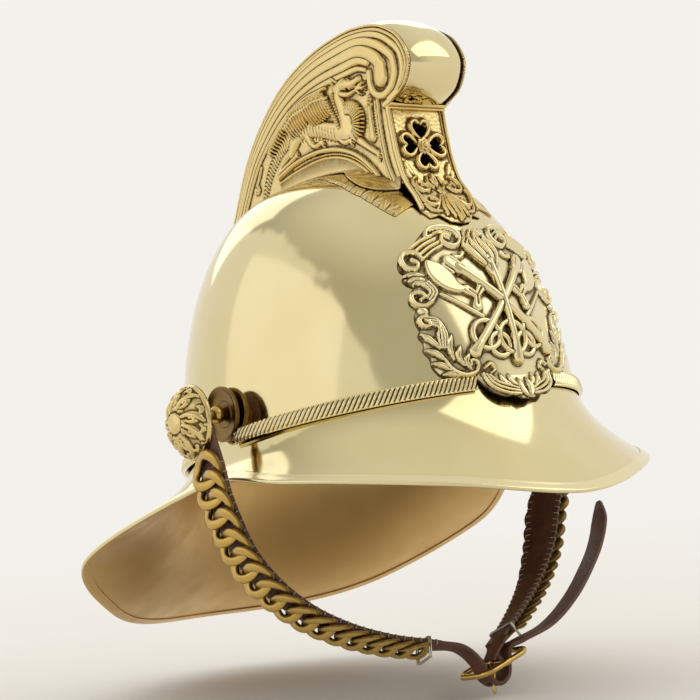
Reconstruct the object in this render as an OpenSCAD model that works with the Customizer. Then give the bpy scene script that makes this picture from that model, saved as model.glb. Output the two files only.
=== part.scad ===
// Victorian brass firefighter helmet with a high comb and a leather-backed chin chain.
// Front faces -Y, the wearer's right is -X, +Z is up, origin at the centre of the head opening.

/* [Skull] */
// Half the length of the skull at its base
skull_half_len = 110.4; // [106:0.1:115]
// Half the width of the skull at its base
skull_half_wid = 92.1; // [89:0.1:94]
// Height of the crown above the base of the skull
crown_h = 124.2; // [118:0.1:130]
// How far the crown leans towards the back
crown_lean = 8; // [4:0.5:12]
// Height of the skull's base above the brim's side edge
base_z = 23.9; // [22:0.1:26]
// How far the rope band's line lies below the base beside the ears
rope_sink = 4.9; // [3:0.1:7]
// Rise of the rope band's tilted line from the side to the front
rope_tilt = 16; // [12:0.5:18]
// Thickness of the sheet brass
wall = 0.8; // [0.7:0.1:1.2]

/* [Brim] */
// Reach of the front peak from the origin
peak_reach = 150.2; // [145:0.1:156]
// Drop of the peak's tip
peak_drop = 15.4; // [11:0.1:20]
// Reach of the neck guard from the origin
guard_reach = 179.5; // [172:0.1:186]
// Drop of the neck guard's rear edge
guard_drop = 78.7; // [72:0.1:84]
// Half width of the neck guard at its widest
guard_half_wid = 129.3; // [124:0.1:134]
// How far the brim stands out from the skull beside the ears
ear_reach = 12.9; // [11.9:0.1:13.9]
// Width of the folded strip round the edge
edge_wid = 5; // [4:0.5:7]
// Thickness of the folded strip
edge_wall = 0.5; // [0.4:0.1:0.8]

/* [Rope band] */
// Height of the rope band
rope_h = 7.4; // [6:0.1:9]
// How far the rope band stands out
rope_t = 3; // [2.5:0.1:4]

/* [Comb] */
// Width of the comb across its side plates
comb_wid = 34.4; // [30:0.2:38]
// Thickness of the comb's plates
comb_wall = 0.8; // [0.7:0.1:1.4]
// Height of the comb's top above the brim's side edge
comb_top = 217.9; // [212:0.1:222]
// Bulge of the rolled top at its fullest
roll_bulge = 4; // [3:0.1:7]
// Half size of the pierced quatrefoil
quatrefoil_r = 13.6; // [11:0.1:14.5]
// Width of the foot flange on the skull
foot_wid = 9; // [7:0.5:12]
// Thickness of the foot flange
foot_t = 0.9; // [0.7:0.1:1.2]
// Radius of the comb's fixing screws
screw_r = 1.6; // [1.2:0.1:2]

/* [Badge] */
// Half width of the badge
badge_half_wid = 41; // [36:0.5:44]
// Half height of the badge
badge_half_h = 42; // [38:0.5:44]
// Height of the badge's centre
badge_z = 69.5; // [67:0.5:72]
// Relief of the badge's border
badge_relief = 4; // [3:0.5:5]
// Radius of the axe shafts
shaft_r = 1.7; // [1.3:0.1:2]

/* [Side bosses] */
// Distance of the boss axis in front of the origin
boss_fwd = 3; // [1:0.5:5]
// Height of the boss axis
boss_z = 32; // [31:0.5:34]
// Radius of the dished boss base
boss_r = 15; // [13:0.5:16]
// Radius of the boss stud
stud_r = 2.5; // [2:0.1:3]
// Running clearance between stud and eyelet
stud_gap = 0.05; // [0.02:0.01:0.1]
// Radius of the ball on the stud
ball_r = 4.3; // [3.8:0.1:5]
// Radius of the rosette
rosette_r = 18; // [16:0.5:19]
// Height of the rosette's dome
rosette_dome = 12; // [9:0.5:13]
// How far the rosette's centre hangs below the boss axis
rosette_drop = 3; // [1:0.5:4]

/* [Chin strap] */
// Distance of the strap's leather from the skull's side at the boss
strap_reach = 17.6; // [17.4:0.1:18.9]
// Width of the leather at the top
strap_wid_top = 21; // [18:0.5:23]
// Width of the leather at the buckle
strap_wid_end = 10.5; // [9:0.5:11]
// Thickness of the leather
leather_t = 2; // [1.6:0.1:2.2]
// Half width of the top chain link
link_half_wid = 9.4; // [8:0.1:10]
// Half length of the top chain link
link_half_len = 7.2; // [7:0.1:7.4]
// Wire radius of the top chain link
link_wire = 1.6; // [1.2:0.1:1.6]
// Size of the last link as a share of the first
link_taper = 0.78; // [0.7:0.01:0.8]
// Chain links on each side
link_count = 17; // [15:1:17]

/* [Buckle] */
// Half length of the oval frame along the strap
buckle_half_len = 15; // [14:0.5:17]
// Half width of the oval frame across the strap
buckle_half_wid = 11.5; // [10.5:0.5:13]
// Wire radius of the frame
buckle_wire = 1.4; // [1.1:0.1:1.7]
// Radius of the middle bar
bar_r = 1.2; // [1:0.1:1.4]
// Running clearance on the middle bar
bar_gap = 0.06; // [0.02:0.01:0.1]
// Length of the prong from the bar to its tip
prong_len = 14.5; // [12:0.5:16]

/* [Liner] */
// Height of the leather sweatband
band_h = 32; // [26:1:38]
// Thickness of the sweatband
band_t = 2; // [1.5:0.1:3]
// Gap between the sweatband and the skull
band_gap = 2; // [1.5:0.1:3]
// Crown leathers of the liner
petal_count = 8; // [6:1:10]

/* [Hidden] */
$fn = 48;
brass = [0.80, 0.70, 0.42];
deep_brass = [0.72, 0.57, 0.24];
leather = [0.24, 0.14, 0.10];
// Clearance between parts that lie on each other
gap = 0.1;
// Stations round the helmet and steps up the skull
around = 64;
skull_steps = 11;
brim_steps = 7;
step = 360 / around;
// Shape exponents of the skull's upright section
round_out = 0.655;
round_up = 1.15;
// Slope of the base line per mm of length
base_slope = 0.02;

// Spline helpers
function unit(v) = v / norm(v);
function seg(ks, t, i = 0) = (i >= len(ks) - 2 || t < ks[i + 1]) ? i : seg(ks, t, i + 1);
function slope(ks, ps, i) = (ps[i + 1] - ps[i]) / (ks[i + 1] - ks[i]);
function tan_at(ks, ps, i) = i == 0 ? slope(ks, ps, 0) : i == len(ks) - 1 ? slope(ks, ps, i - 1) :
    let(a = ks[i] - ks[i - 1], b = ks[i + 1] - ks[i])
    (slope(ks, ps, i - 1) * b + slope(ks, ps, i) * a) / (a + b);
function spline(ks, ps, t) = let(i = seg(ks, t), h = ks[i + 1] - ks[i], u = (t - ks[i]) / h)
    ps[i] * (2 * u ^ 3 - 3 * u ^ 2 + 1) + tan_at(ks, ps, i) * h * (u ^ 3 - 2 * u ^ 2 + u)
    + ps[i + 1] * (3 * u ^ 2 - 2 * u ^ 3) + tan_at(ks, ps, i + 1) * h * (u ^ 3 - u ^ 2);
function knots(ps, i = 0, sum = 0) = i >= len(ps) ? [] :
    let(s = i == 0 ? 0 : sum + norm(ps[i] - ps[i - 1])) concat([s], knots(ps, i + 1, s));

// Skull surface: s runs from 0 at the base to 1 at the crown, t turns from the front, d is an inset
function inward(s) = max(0, 1 - max(0, s) ^ (2 / round_up)) ^ (round_out / 2);
function skull_at(s, t, d = 0) = let(g = inward(s), y = -(skull_half_len - d) * g * cos(t) + crown_lean * s)
    [(skull_half_wid - d) * g * sin(t), y, base_z + (crown_h - d) * s - (1 - s) * base_slope * y];
// The rope band's line is a tilted ring: high at the front, low at the neck
function rope_s(t) = (rope_tilt * cos(t) - rope_sink) / crown_h;
// Height share of the skull above a point x, y of the plan
function above(x, y, d = 0, lo = 0, hi = 1, n = 24) = let(m = (lo + hi) / 2, g = inward(m) + 1e-6,
    f = (x / (skull_half_wid - d) / g) ^ 2 + ((y - crown_lean * m) / (skull_half_len - d) / g) ^ 2)
    n == 0 ? m : f > 1 ? above(x, y, d, lo, m, n - 1) : above(x, y, d, m, hi, n - 1);
function roof(x, y, d = 0) = let(s = above(x, y, d)) base_z + (crown_h - d) * s - (1 - s) * base_slope * y;

// Edge of the brim: turn from the front, then place
edge_turns = [-30, 0, 30, 61, 93, 118, 139, 180, 221];
ear_half_wid = skull_half_wid + ear_reach;
edge_points = [[-58.3, -128.1, -7.7], [0, -peak_reach, -peak_drop], [58.3, -128.1, -7.7],
    [ear_half_wid + 1.3, -71.5, -1.5], [ear_half_wid, 10, -3], [guard_half_wid, 81.2, -36.2],
    [91.4, 127.2, -64.8], [0, guard_reach, -guard_drop], [-91.4, 127.2, -64.8]];
function half_turn(t) = let(m = t - 360 * floor(t / 360)) m > 180 ? 360 - m : m;
function side_of(t) = let(m = t - 360 * floor(t / 360)) m > 180 ? -1 : 1;
function brim_edge(t) = let(p = spline(edge_turns, edge_points, half_turn(t))) [side_of(t) * p.x, p.y, p.z];

// Upright section of the brim at turn t: a Bezier curve in reach and height, steeper in the neck guard
function guard_share(t) = min(1, max(0, -cos(t) / 0.42));
function brim_frame(t) = let(r = skull_at(rope_s(t), t) - [0, 0, gap], e = brim_edge(t),
    h = norm([e.x - r.x, e.y - r.y])) [r, [e.x - r.x, e.y - r.y, 0] / h, h, r.z - e.z, guard_share(t)];
function brim_legs(f) = let(h = f[2], d = f[3], g = f[4]) [[0, 0],
    [(0.12 - 0.1 * g) * h, (0.07 * g - 0.42) * d],
    [(0.6 - 0.15 * g) * h, -(0.72 + 0.08 * g) * d], [h, -d]];
function bezier(b, u) = b[0] * (1 - u) ^ 3 + 3 * b[1] * u * (1 - u) ^ 2 + 3 * b[2] * u ^ 2 * (1 - u)
    + b[3] * u ^ 3;
function bezier_dir(b, u) = unit((b[1] - b[0]) * (1 - u) ^ 2 + 2 * (b[2] - b[1]) * u * (1 - u)
    + (b[3] - b[2]) * u ^ 2 + [0, -1e-6]);
// Point at u along the section, sunk by d under the outer face and slid by e past it
function brim_at(f, u, d, e = 0) = let(b = brim_legs(f), p = bezier(b, u), v = bezier_dir(b, u),
    q = p + d * [v.y, -v.x] + e * v) f[0] + q.x * f[1] + [0, 0, q.y];
function edge_start(f) = let(b = brim_legs(f)) 1 - edge_wid / (3 * norm(b[3] - b[2]));
function brim_ring(t) = let(f = brim_frame(t), u1 = edge_start(f),
    us = [for (k = [0:brim_steps]) k == brim_steps ? 1 : u1 * k / (brim_steps - 1)])
    concat([for (u = us) brim_at(f, u, 0)], [for (k = [brim_steps:-1:0]) brim_at(f, us[k], wall)]);
function binding_ring(t) = let(f = brim_frame(t), u = edge_start(f), c = gap, w = c + edge_wall)
    [brim_at(f, u, -w), brim_at(f, 1, -w, w), brim_at(f, 1, wall + w, w), brim_at(f, u, wall + w),
     brim_at(f, u, wall + c), brim_at(f, 1, wall + c, c), brim_at(f, 1, -c, c), brim_at(f, u, -c)];

// Solid through a list of rings of points, closed round or capped at both ends; cross turns the diagonals
module loft(given, closed = false, flip = false, cross = false) {
    n = len(given[0]);
    rings = flip ? [for (r = given) [for (j = [n - 1:-1:0]) r[j]]] : given;
    m = len(rings);
    last = closed ? m - 1 : m - 2;
    sides = [for (i = [0:last], j = [0:n - 1], k = [0, 1]) let(a = i * n + j, b = i * n + (j + 1) % n,
        c = ((i + 1) % m) * n + j, d = ((i + 1) % m) * n + (j + 1) % n)
        k == 0 ? [a, b, cross ? c : d] : [cross ? b : a, d, c]];
    caps = closed ? [] : concat(strip_cap(n, 0, true), strip_cap(n, (m - 1) * n, false));
    polyhedron([for (r = rings, p = r) p], concat(sides, caps));
}
// A cap made of a zigzag of triangles across a ring whose second half returns beside its first
function strip_cap(n, o, flip) = [for (j = [0:n / 2 - 2], k = [0, 1]) let(a = o + j, b = o + j + 1,
    c = o + n - 1 - j, d = o + n - 2 - j, f = k == 0 ? [a, b, d] : [a, d, c])
    if (f[0] != f[1] && f[1] != f[2]) flip ? [f[2], f[1], f[0]] : f];

// Height share of row j of the skull's mesh at turn t
function row_s(j, t) = let(r = rope_s(t)) r + (1 - r) * sin(90 * j / skull_steps) ^ round_up;
// Helmet body
module skull_shell() color(brass) difference() {
    m = skull_steps;
    n = around;
    outer = [for (j = [0:m - 1], i = [0:n - 1]) skull_at(row_s(j, i * step), i * step)];
    inner = [for (j = [0:m - 1], i = [0:n - 1]) skull_at(row_s(j, i * step), i * step, wall)];
    poles = [skull_at(1, 0), skull_at(1, 0, wall)];
    o = m * n;
    polyhedron(concat(outer, inner, poles), concat(
        [for (j = [0:m - 2], i = [0:n - 1]) let(a = j * n + i, b = j * n + (i + 1) % n) [a, a + n, b + n]],
        [for (j = [0:m - 2], i = [0:n - 1]) let(a = j * n + i, b = j * n + (i + 1) % n) [a, b + n, b]],
        [for (j = [0:m - 2], i = [0:n - 1]) let(a = o + j * n + i, b = o + j * n + (i + 1) % n)
            [a, b + n, a + n]],
        [for (j = [0:m - 2], i = [0:n - 1]) let(a = o + j * n + i, b = o + j * n + (i + 1) % n)
            [a, b, b + n]],
        [for (i = [0:n - 1]) [(m - 1) * n + i, 2 * o, (m - 1) * n + (i + 1) % n]],
        [for (i = [0:n - 1]) [o + (m - 1) * n + i, o + (m - 1) * n + (i + 1) % n, 2 * o + 1]],
        [for (i = [0:n - 1]) [i, (i + 1) % n, o + (i + 1) % n]],
        [for (i = [0:n - 1]) [i, o + (i + 1) % n, o + i]]));
    for (s = [-1, 1]) boss_axis(s) translate([0, 0, skull_half_wid - 8]) cylinder(h = 16, r = stud_r + gap);
    comb_screw_places() translate([0, 0, -12]) cylinder(h = 20, r = screw_r + gap);
    badge_stud_places() translate([0, 0, -12]) cylinder(h = 20, r = screw_r + gap);
}

module front_peak() color(brass) loft([for (k = [-around / 4:around / 4]) brim_ring(k * step)], false, true);

module neck_guard() color(brass)
    loft([for (k = [around / 4:3 * around / 4]) brim_ring(k * step)], false, true);

module edge_binding() color(brass) loft([for (k = [0:around - 1]) binding_ring(k * step)], true, true, true);

// Rope band: a half-round band over the seam of skull and brim
rope_lean = 0.44;
function rope_ring(t) = let(p = skull_at(rope_s(t), t),
    o = unit([sin(t) * skull_half_len, -cos(t) * skull_half_wid, 0]), h = rope_h / 2)
    [for (a = [-90:22.5:90]) p + o * (3 * gap + rope_lean * max(0, -h * sin(a)) + rope_t * cos(a) + 0.2)
        + [0, 0, h * sin(a)],
     for (a = [90:-22.5:-90]) p + o * (3 * gap + rope_lean * max(0, -h * sin(a))) + [0, 0, h * sin(a)]];
// Stations that the dished bosses take up on each side
boss_skip = 2;
// The front band is in two lengths that end at the badge's edge
module rope_band_front() color(brass) difference() {
    loft([for (k = [-around / 4 + boss_skip:around / 4 - boss_skip]) rope_ring(k * step)]);
    translate([0, -skull_half_len / 2, badge_z]) rotate([90, 0, 0]) linear_extrude(skull_half_len)
        polygon([for (i = [0:43]) let(a = i * 360 / 44, c = badge_lobe(a) + 0.02)
            [badge_half_wid * c * cos(a), badge_half_h * c * sin(a)]]);
}
module rope_band_rear() color(brass)
    loft([for (k = [around / 4 + boss_skip:3 * around / 4 - boss_skip]) rope_ring(k * step)]);

// The comb is drawn for a skull of this half length, base, crown height and comb top, and follows its size
drawn_len = 110.4;
drawn_base = 23.9;
drawn_crown = 124.2;
drawn_top = 217.9;
function fit(p) = [p.x * skull_half_len / drawn_len, base_z + (p.y - drawn_base) * crown_h / drawn_crown];
function fit_all(ps) = [for (p = ps) fit(p)];
// Comb: side outline from the rear foot over the top to the front roll
top_lift = (comb_top - drawn_top) * [0, 1];
comb_outline = [for (p = [[110.6, 50, 0], [113.5, 78, 0], [105.5, 111, 0], [91.7, 137.4, 0],
    [70.5, 172.5, 0.5], [37.3, 201.1, 1], [-7.9, 216.3, 1], [-30.4, 217.9, 1], [-52, 214, 1],
    [-65.8, 204.6, 1], [-70.9, 194, 0.5], [-66.5, 183, 0], [-52.5, 175, 0]]) fit(p) + p.z * top_lift];
outline_knots = knots(comb_outline);
outline_end = outline_knots[len(outline_knots) - 1];
comb_steps = 34;
function outline_at(k, d = 0) = let(t = outline_end * k, p = spline(outline_knots, comb_outline, t),
    a = spline(outline_knots, comb_outline, max(0, t - 1)),
    b = spline(outline_knots, comb_outline, min(outline_end, t + 1)), v = unit(b - a)) p + d * [-v.y, v.x];
// Front edge of the comb, down from the roll to the tip on the skull
front_line = fit_all([[-50.6, 174.2], [-52.4, 162], [-55.4, 148], [-60.3, 136.4], [-69, 127.4],
    [-75, 120.6], [-80.2, 113.6]]);
front_knots = knots(front_line);
front_end = front_knots[len(front_knots) - 1];
function front_at(k, d = 0) = let(t = front_end * k, p = spline(front_knots, front_line, t),
    a = spline(front_knots, front_line, max(0, t - 1)),
    b = spline(front_knots, front_line, min(front_end, t + 1)), v = unit(b - a)) p + d * [-v.y, v.x];
side_x = comb_wid / 2;
foot_clear = foot_t + 5.5 * gap;
// Length along the crown at an angle, which packs the stations towards the steep rear
function along(a) = (7 + 100.5 * sin(a)) * skull_half_len / drawn_len;
// Lower edge of the side plate, which stands on the foot flange
function lower_edge() = [for (a = [-38:3.6:79]) let(y = along(a))
    [y, roof(side_x - comb_wall, y) + foot_clear]];
function side_outline() = concat([for (k = [0:comb_steps]) outline_at(k / comb_steps)],
    [for (k = [0.02:0.06:0.56]) front_at(k, comb_wall + 0.8)], lower_edge());
function band(k0, k1, d0, d1, n) = concat([for (i = [0:n]) outline_at(k0 + (k1 - k0) * i / n, d0)],
    [for (i = [n:-1:0]) outline_at(k0 + (k1 - k0) * i / n, d1)]);
// Arch along the foot of the side plate
arch = fit_all([[46, 154.2], [26, 157.6], [8, 160], [-8, 159.8], [-22, 155.6], [-30, 151.2], [-37, 147]]);
arch_knots = knots(arch);
function arch_band(d) = [for (i = [0:14]) spline(arch_knots, arch, arch_knots[6] * i / 14) - [0, d]];
module in_side_plane(x, t) translate([x, 0, 0]) rotate([90, 0, 90]) linear_extrude(t) children();
module comb_side() {
    relief = 0.9;
    in_side_plane(side_x - comb_wall, comb_wall) polygon(side_outline());
    in_side_plane(side_x - 0.5, relief + 0.5) {
        polygon(band(0.03, 0.97, 0.4, 2.6, 34));
        polygon(band(0.1, 0.93, 5, 7.6, 30));
        polygon(band(0.14, 0.88, 10, 12.6, 28));
        polygon(concat(arch_band(0), [for (i = [14:-1:0]) arch_band(3.4)[i]]));
        translate(fit([-38.8, 160])) square([4.4, 15]);
    }
    let(c = fit([-47.5, 194.5])) translate([side_x - 0.5, c.x, c.y]) rotate([0, 90, 0])
        cylinder(h = relief + 1.3, r = 5.2);
    // Dragon in low relief: body, neck, head, wing and tail as round-ended strokes
    for (s = [[[18, 172], [-18, 168], 6], [[-18, 168], [-14, 184], 4.5], [[-14, 184], [-25, 190.5], 3.6],
        [[-25, 190.5], [-34, 188], 2.4], [[12, 176], [-2, 190], 3], [[24, 172], [8, 184], 2.6],
        [[18, 172], [44, 158], 4], [[44, 158], [70, 150.5], 3], [[-20, 164], [-42, 152.5], 2.4]])
        stroke(fit(s[0]), fit(s[1]), s[2], relief);
}
// A flat bar with round ends between two points of the side plane
module stroke(a, b, r, relief) let(t = atan2(b.y - a.y, b.x - a.x)) in_side_plane(side_x - 0.5, relief + 0.5)
    polygon(concat([for (q = [-90:20:90]) b + r * [cos(t + q), sin(t + q)]],
        [for (q = [90:20:270]) a + r * [cos(t + q), sin(t + q)]]));
module comb_side_left() color(brass) comb_side();
module comb_side_right() color(brass) mirror([1, 0, 0]) comb_side();

// Rolled top between the side plates, fullest at the front
function bulge(k) = 2.2 + (roll_bulge - 2.2) * (k < 0.35 ? 0 : sin(min(90, (k - 0.35) / 0.35 * 90)) ^ 2)
    * (k > 0.86 ? 0.35 + 0.65 * cos((k - 0.86) / 0.14 * 90) : 1);
function roll_ring(k) = let(w = side_x - comb_wall - gap, n = 3)
    [for (j = [-n:n]) let(p = outline_at(k, 1.2 - bulge(k) * (1 - (j / n) ^ 2))) [w * j / n, p.x, p.y],
     for (j = [n:-1:-n]) let(p = outline_at(k, 1.2 + comb_wall - bulge(k) * (1 - (j / n) ^ 2)))
        [w * j / n, p.x, p.y]];
module comb_top_roll() color(brass) loft([for (k = [0:36]) roll_ring(0.035 + 0.955 * k / 36)]);

// Front plate with a pierced quatrefoil of four hearts
quatrefoil_z = fit([0, 155.1]).y;
front_face = fit([-57.6, 0]).x;
hearts_at = 0.46;
module heart(r) {
    for (s = [-1, 1]) translate([s * 0.46 * r, 0.62 * r]) circle(0.5 * r, $fn = 32);
    polygon([[0, -0.9 * r], [0.9 * r, 0.42 * r], [0.5 * r, 0.75 * r],
        [-0.5 * r, 0.75 * r], [-0.9 * r, 0.42 * r]]);
}
module hearts(r) for (a = [0:90:270]) rotate(a) translate([0, hearts_at * quatrefoil_r]) heart(r);
module in_front_plane(y0, y1)
    translate([0, y1, quatrefoil_z]) rotate([90, 0, 0]) linear_extrude(y1 - y0) children();
module comb_front_plate() color(brass) difference() {
    union() {
        intersection() {
            translate([-side_x - 0.6, 0, 0]) rotate([90, 0, 90]) linear_extrude(2 * side_x + 1.2)
                polygon(concat([for (i = [1:14]) front_at(i / 14)],
                    [for (i = [14:-1:1]) front_at(i / 14, comb_wall)]));
            in_front_plane(front_face - 44, front_face + 36)
                polygon([[-side_x - 0.6, 17.4], [-side_x - 0.6, -34], [-side_x + 2, -38.4],
                    [-10, -37], [-6, -40.6], [0, -42], [6, -40.6], [10, -37], [side_x - 2, -38.4],
                    [side_x + 0.6, -34], [side_x + 0.6, 17.4]]);
        }
        in_front_plane(front_face, front_face + 6) intersection() {
            hearts(5.6);
            circle(quatrefoil_r);
        }
        for (s = [-1, 1]) in_front_edge(s * (side_x - 0.6));
    }
    in_front_plane(front_face - 4, front_face + 11) hearts(4.3);
}
// Raised border along one side of the front plate
module in_front_edge(x) translate([x - 0.9, 0, 0]) rotate([90, 0, 90]) linear_extrude(1.8)
    polygon(concat([for (i = [1:12]) front_at(i / 14, -0.9)], [for (i = [12:-1:1]) front_at(i / 14, 0.5)]));
module quatrefoil_boss() color(brass) translate([0, front_face - gap, quatrefoil_z]) rotate([90, 0, 0]) {
    linear_extrude(0.9) for (a = [0, 45]) rotate(a) square(4.6, center = true);
    cylinder(h = 2.2, r = 1.4);
}

// Foot flanges: leaf-edged strips that carry the side plates on the skull
foot_in = side_x - comb_wall - 0.6;
// The flange steps outside the front plate there, and spreads towards the front
function foot_ring(y, s) = let(a = y < front_face ? side_x + 1 : foot_in,
    b = foot_in + foot_wid * (y > 0 ? 1 : 1 + 0.6 * sin(min(90, -1.8 * y))), g = 3.5 * gap)
    [for (x = [a, (a + b) / 2, b]) [s * x, y, roof(x, y) + g],
     for (x = [b, (a + b) / 2, a]) [s * x, y, roof(x, y) + g + foot_t]];
module foot(s) difference() {
    loft([for (k = [0:30]) foot_ring(along(65 - 115 * k / 30), s)], false, s > 0);
    comb_screw_places() translate([0, 0, -12]) cylinder(h = 20, r = screw_r + gap);
}
module comb_foot_right() color(brass) foot(-1);
module comb_foot_left() color(brass) foot(1);

// Fixing screws through foot flange and skull, two on each side, with nuts inside
screw_ys = [-30, 48];
module comb_screw_places() for (s = [-1, 1], y = screw_ys)
    let(x = side_x + foot_wid / 2 - 0.4, z = roof(x, y),
    nx = (z - roof(x + 1, y)), ny = (z - roof(x, y + 1))) translate([s * x, y, z])
    rotate([0, 0, atan2(ny, s * nx)]) rotate([0, atan2(norm([nx, ny]), 1), 0]) children();
module comb_screws() color(brass) comb_screw_places() {
    translate([0, 0, -wall - 4]) cylinder(h = wall + 4 + foot_t + 4 * gap, r = screw_r);
    translate([0, 0, foot_t + 4 * gap]) intersection() {
        translate([0, 0, -1.4]) sphere(3.2);
        cylinder(h = 3, r = 3.2);
    }
}
module comb_nuts() color(deep_brass) comb_screw_places() translate([0, 0, -wall - 3.2]) difference() {
    cylinder(h = 2.4, r = 3.4, $fn = 6);
    translate([0, 0, -1]) cylinder(h = 5, r = screw_r + 0.05);
}

// Badge: a lobed cartouche that follows the front of the skull
function badge_lobe(a) = (abs(cos(a)) ^ 2.6 + abs(sin(a)) ^ 2.6) ^ (-1 / 2.6) * (1 + 0.03 * cos(10 * a));
front_base = 1.9;
function on_front(x, z, d) = let(s = (z - base_z - front_base) / (crown_h - front_base),
    t = asin(x / (skull_half_wid * inward(s)))) skull_at(s, t, -d);
// The badge's lower end leans outwards over the flare of the peak
badge_flare = 0.45;
flare_z = 38;
function badge_at(r, a, d) = let(c = r * badge_lobe(a), z = badge_z + badge_half_h * c * sin(a))
    on_front(badge_half_wid * c * cos(a), z, d + badge_flare * max(0, flare_z - z));
badge_base = 0.35;
badge_sheet = 1;
field = [2.8, 2.1];
badge_rows = [[0.4, field[0]], [0.66, field[1]], [0.74, badge_relief], [0.9, badge_relief], [1, badge_sheet],
    [1, 0], [0.87, badge_relief - badge_sheet], [0.77, badge_relief - badge_sheet],
    [0.69, field[1] - badge_sheet], [0.4, field[0] - badge_sheet]];
module badge_plate() color(brass) {
    n = 44;
    m = len(badge_rows);
    rows = [for (r = badge_rows, i = [0:n - 1]) badge_at(r[0], i * 360 / n, badge_base + r[1])];
    ends = [badge_at(0, 0, badge_base + 3), badge_at(0, 0, badge_base + 3 - badge_sheet)];
    o = m * n;
    polyhedron(concat(rows, ends), concat(
        [for (i = [0:n - 1]) [o, (i + 1) % n, i]],
        [for (j = [0:m - 2], i = [0:n - 1], k = [0, 1]) let(a = j * n + i, b = j * n + (i + 1) % n)
            k == 0 ? [a, b + n, a + n] : [a, b, b + n]],
        [for (i = [0:n - 1]) [o + 1, o - n + i, o - n + (i + 1) % n]]));
}
// Plane that lies on the badge's field, its z pointing out
badge_tilt = 21.4;
badge_face = on_front(0, badge_z, badge_base + 3.1);
module on_badge() translate(badge_face) rotate([90 - badge_tilt, 0, 0]) children();
rod_z = shaft_r + 0.1;
module rod(a, b, r) let(d = b - a)
    translate([a.x, a.y, rod_z]) rotate([0, 90, atan2(d.y, d.x)]) cylinder(h = norm(d), r = r);
module axe_head(s) mirror([s > 0 ? 0 : 1, 0, 0])
    translate([17.5, 21, 0.9]) rotate(-38) linear_extrude(2.4) union() {
    intersection() {
        translate([4.5, -2]) circle(9.5);
        translate([13, -2]) circle(9.5);
    }
    translate([-5, -5]) square([13, 6]);
}
module badge_trophy() color(brass) on_badge() difference() {
    union() {
        for (s = [-1, 1]) {
            rod([s * 20, 27], [-s * 21, -22], shaft_r);
            axe_head(s);
            translate([s * 13, -13, rod_z]) rotate_extrude() translate([7.5, 0]) circle(1.3, $fn = 20);
        }
        translate([0, -15, rod_z]) rotate_extrude() translate([8, 0]) circle(1.3, $fn = 20);
        rod([0, 16], [0, -27], shaft_r);
        translate([0, 16, rod_z]) rotate([-90, 0, 0]) cylinder(h = 6, r1 = shaft_r, r2 = 4);
        translate([0, 25.5, rod_z]) sphere(4.6);
        translate([0, 29, rod_z]) rotate([-90, 0, 0]) cylinder(h = 7, r1 = 2.6, r2 = 0.6);
    }
    translate([-60, -60, -20]) cube([120, 120, 20]);
}
// Studs behind the badge, through the skull, with nuts inside
badge_stud_zs = [44, 94];
module badge_stud_places() for (z = badge_stud_zs)
    translate(on_front(0, z, 0)) rotate([90 - (z > badge_z ? 30 : 10), 0, 0]) children();
module badge_studs() color(brass) badge_stud_places() translate([0, 0, -wall - 4])
    cylinder(h = wall + 4 + badge_base + field[1] - badge_sheet, r = screw_r);
module badge_nuts() color(deep_brass) badge_stud_places() translate([0, 0, -wall - 3.4]) difference() {
    cylinder(h = 2.4, r = 3.4, $fn = 6);
    translate([0, 0, -1]) cylinder(h = 5, r = screw_r + 0.05);
}

// Side bosses: places along the boss axis count outwards from the middle of the helmet
module boss_axis(s) translate([0, -boss_fwd, boss_z]) rotate([0, s * 90, 0]) children();
strap_x = skull_half_wid + strap_reach;
base_at = skull_half_wid + 0.1;
leather_in = strap_x - leather_t / 2 - 0.2;
leather_out = strap_x + leather_t / 2 + 0.2;
eyelet_r = 4.2;
module boss_base(s) boss_axis(s) rotate_extrude() polygon([[stud_r + gap, base_at], [8, base_at],
    [boss_r, base_at + 3.4], [boss_r + 0.4, base_at + 4.4], [boss_r - 0.8, base_at + 4.6],
    [7.4, base_at + 1.2], [stud_r + gap, base_at + 1.2]]);
module boss_base_right() color(deep_brass) boss_base(-1);
module boss_base_left() color(deep_brass) boss_base(1);
pin_end = leather_out + 3.6;
module boss_stud(s) boss_axis(s) {
    translate([0, 0, skull_half_wid - wall - 5])
        cylinder(h = pin_end - skull_half_wid + wall + 5, r = stud_r);
    translate([0, 0, base_at + 1.3 + ball_r * 0.8]) intersection() {
        sphere(ball_r);
        cylinder(h = 1.6 * ball_r, r = ball_r, center = true);
    }
    translate([0, 0, pin_end - 1]) cylinder(h = 1.2, r = stud_r + 1);
}
module boss_stud_right() color(brass) boss_stud(-1);
module boss_stud_left() color(brass) boss_stud(1);
// Radius of the boss nuts over their corners
nut_r = 4.6;
module boss_nuts() color(deep_brass) for (s = [-1, 1])
    boss_axis(s) translate([0, 0, skull_half_wid - wall - 4.2]) difference() {
    cylinder(h = 3, r = nut_r, $fn = 6);
    translate([0, 0, -1]) cylinder(h = 6, r = stud_r + 0.05);
}

// Liner: sweatband, crown leathers, lace and the clips that hold the band
function band_ring(t) = [for (p = [[0, 1], [0, 0], [1, 0], [1, 1]]) let(d = wall + band_gap + p.x * band_t,
    q = skull_at(0, t, d)) [q.x, q.y, base_z + 8 - band_h * (1 - p.y)] + [0, 0, -base_slope * q.y]];
module liner_sweatband() color(leather) difference() {
    loft([for (k = [0:around - 1]) band_ring(k * step)], true, true);
    for (s = [-1, 1]) boss_axis(s) translate([0, 0, skull_half_wid - 16]) cylinder(h = 16, r = nut_r + 1);
}
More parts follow.
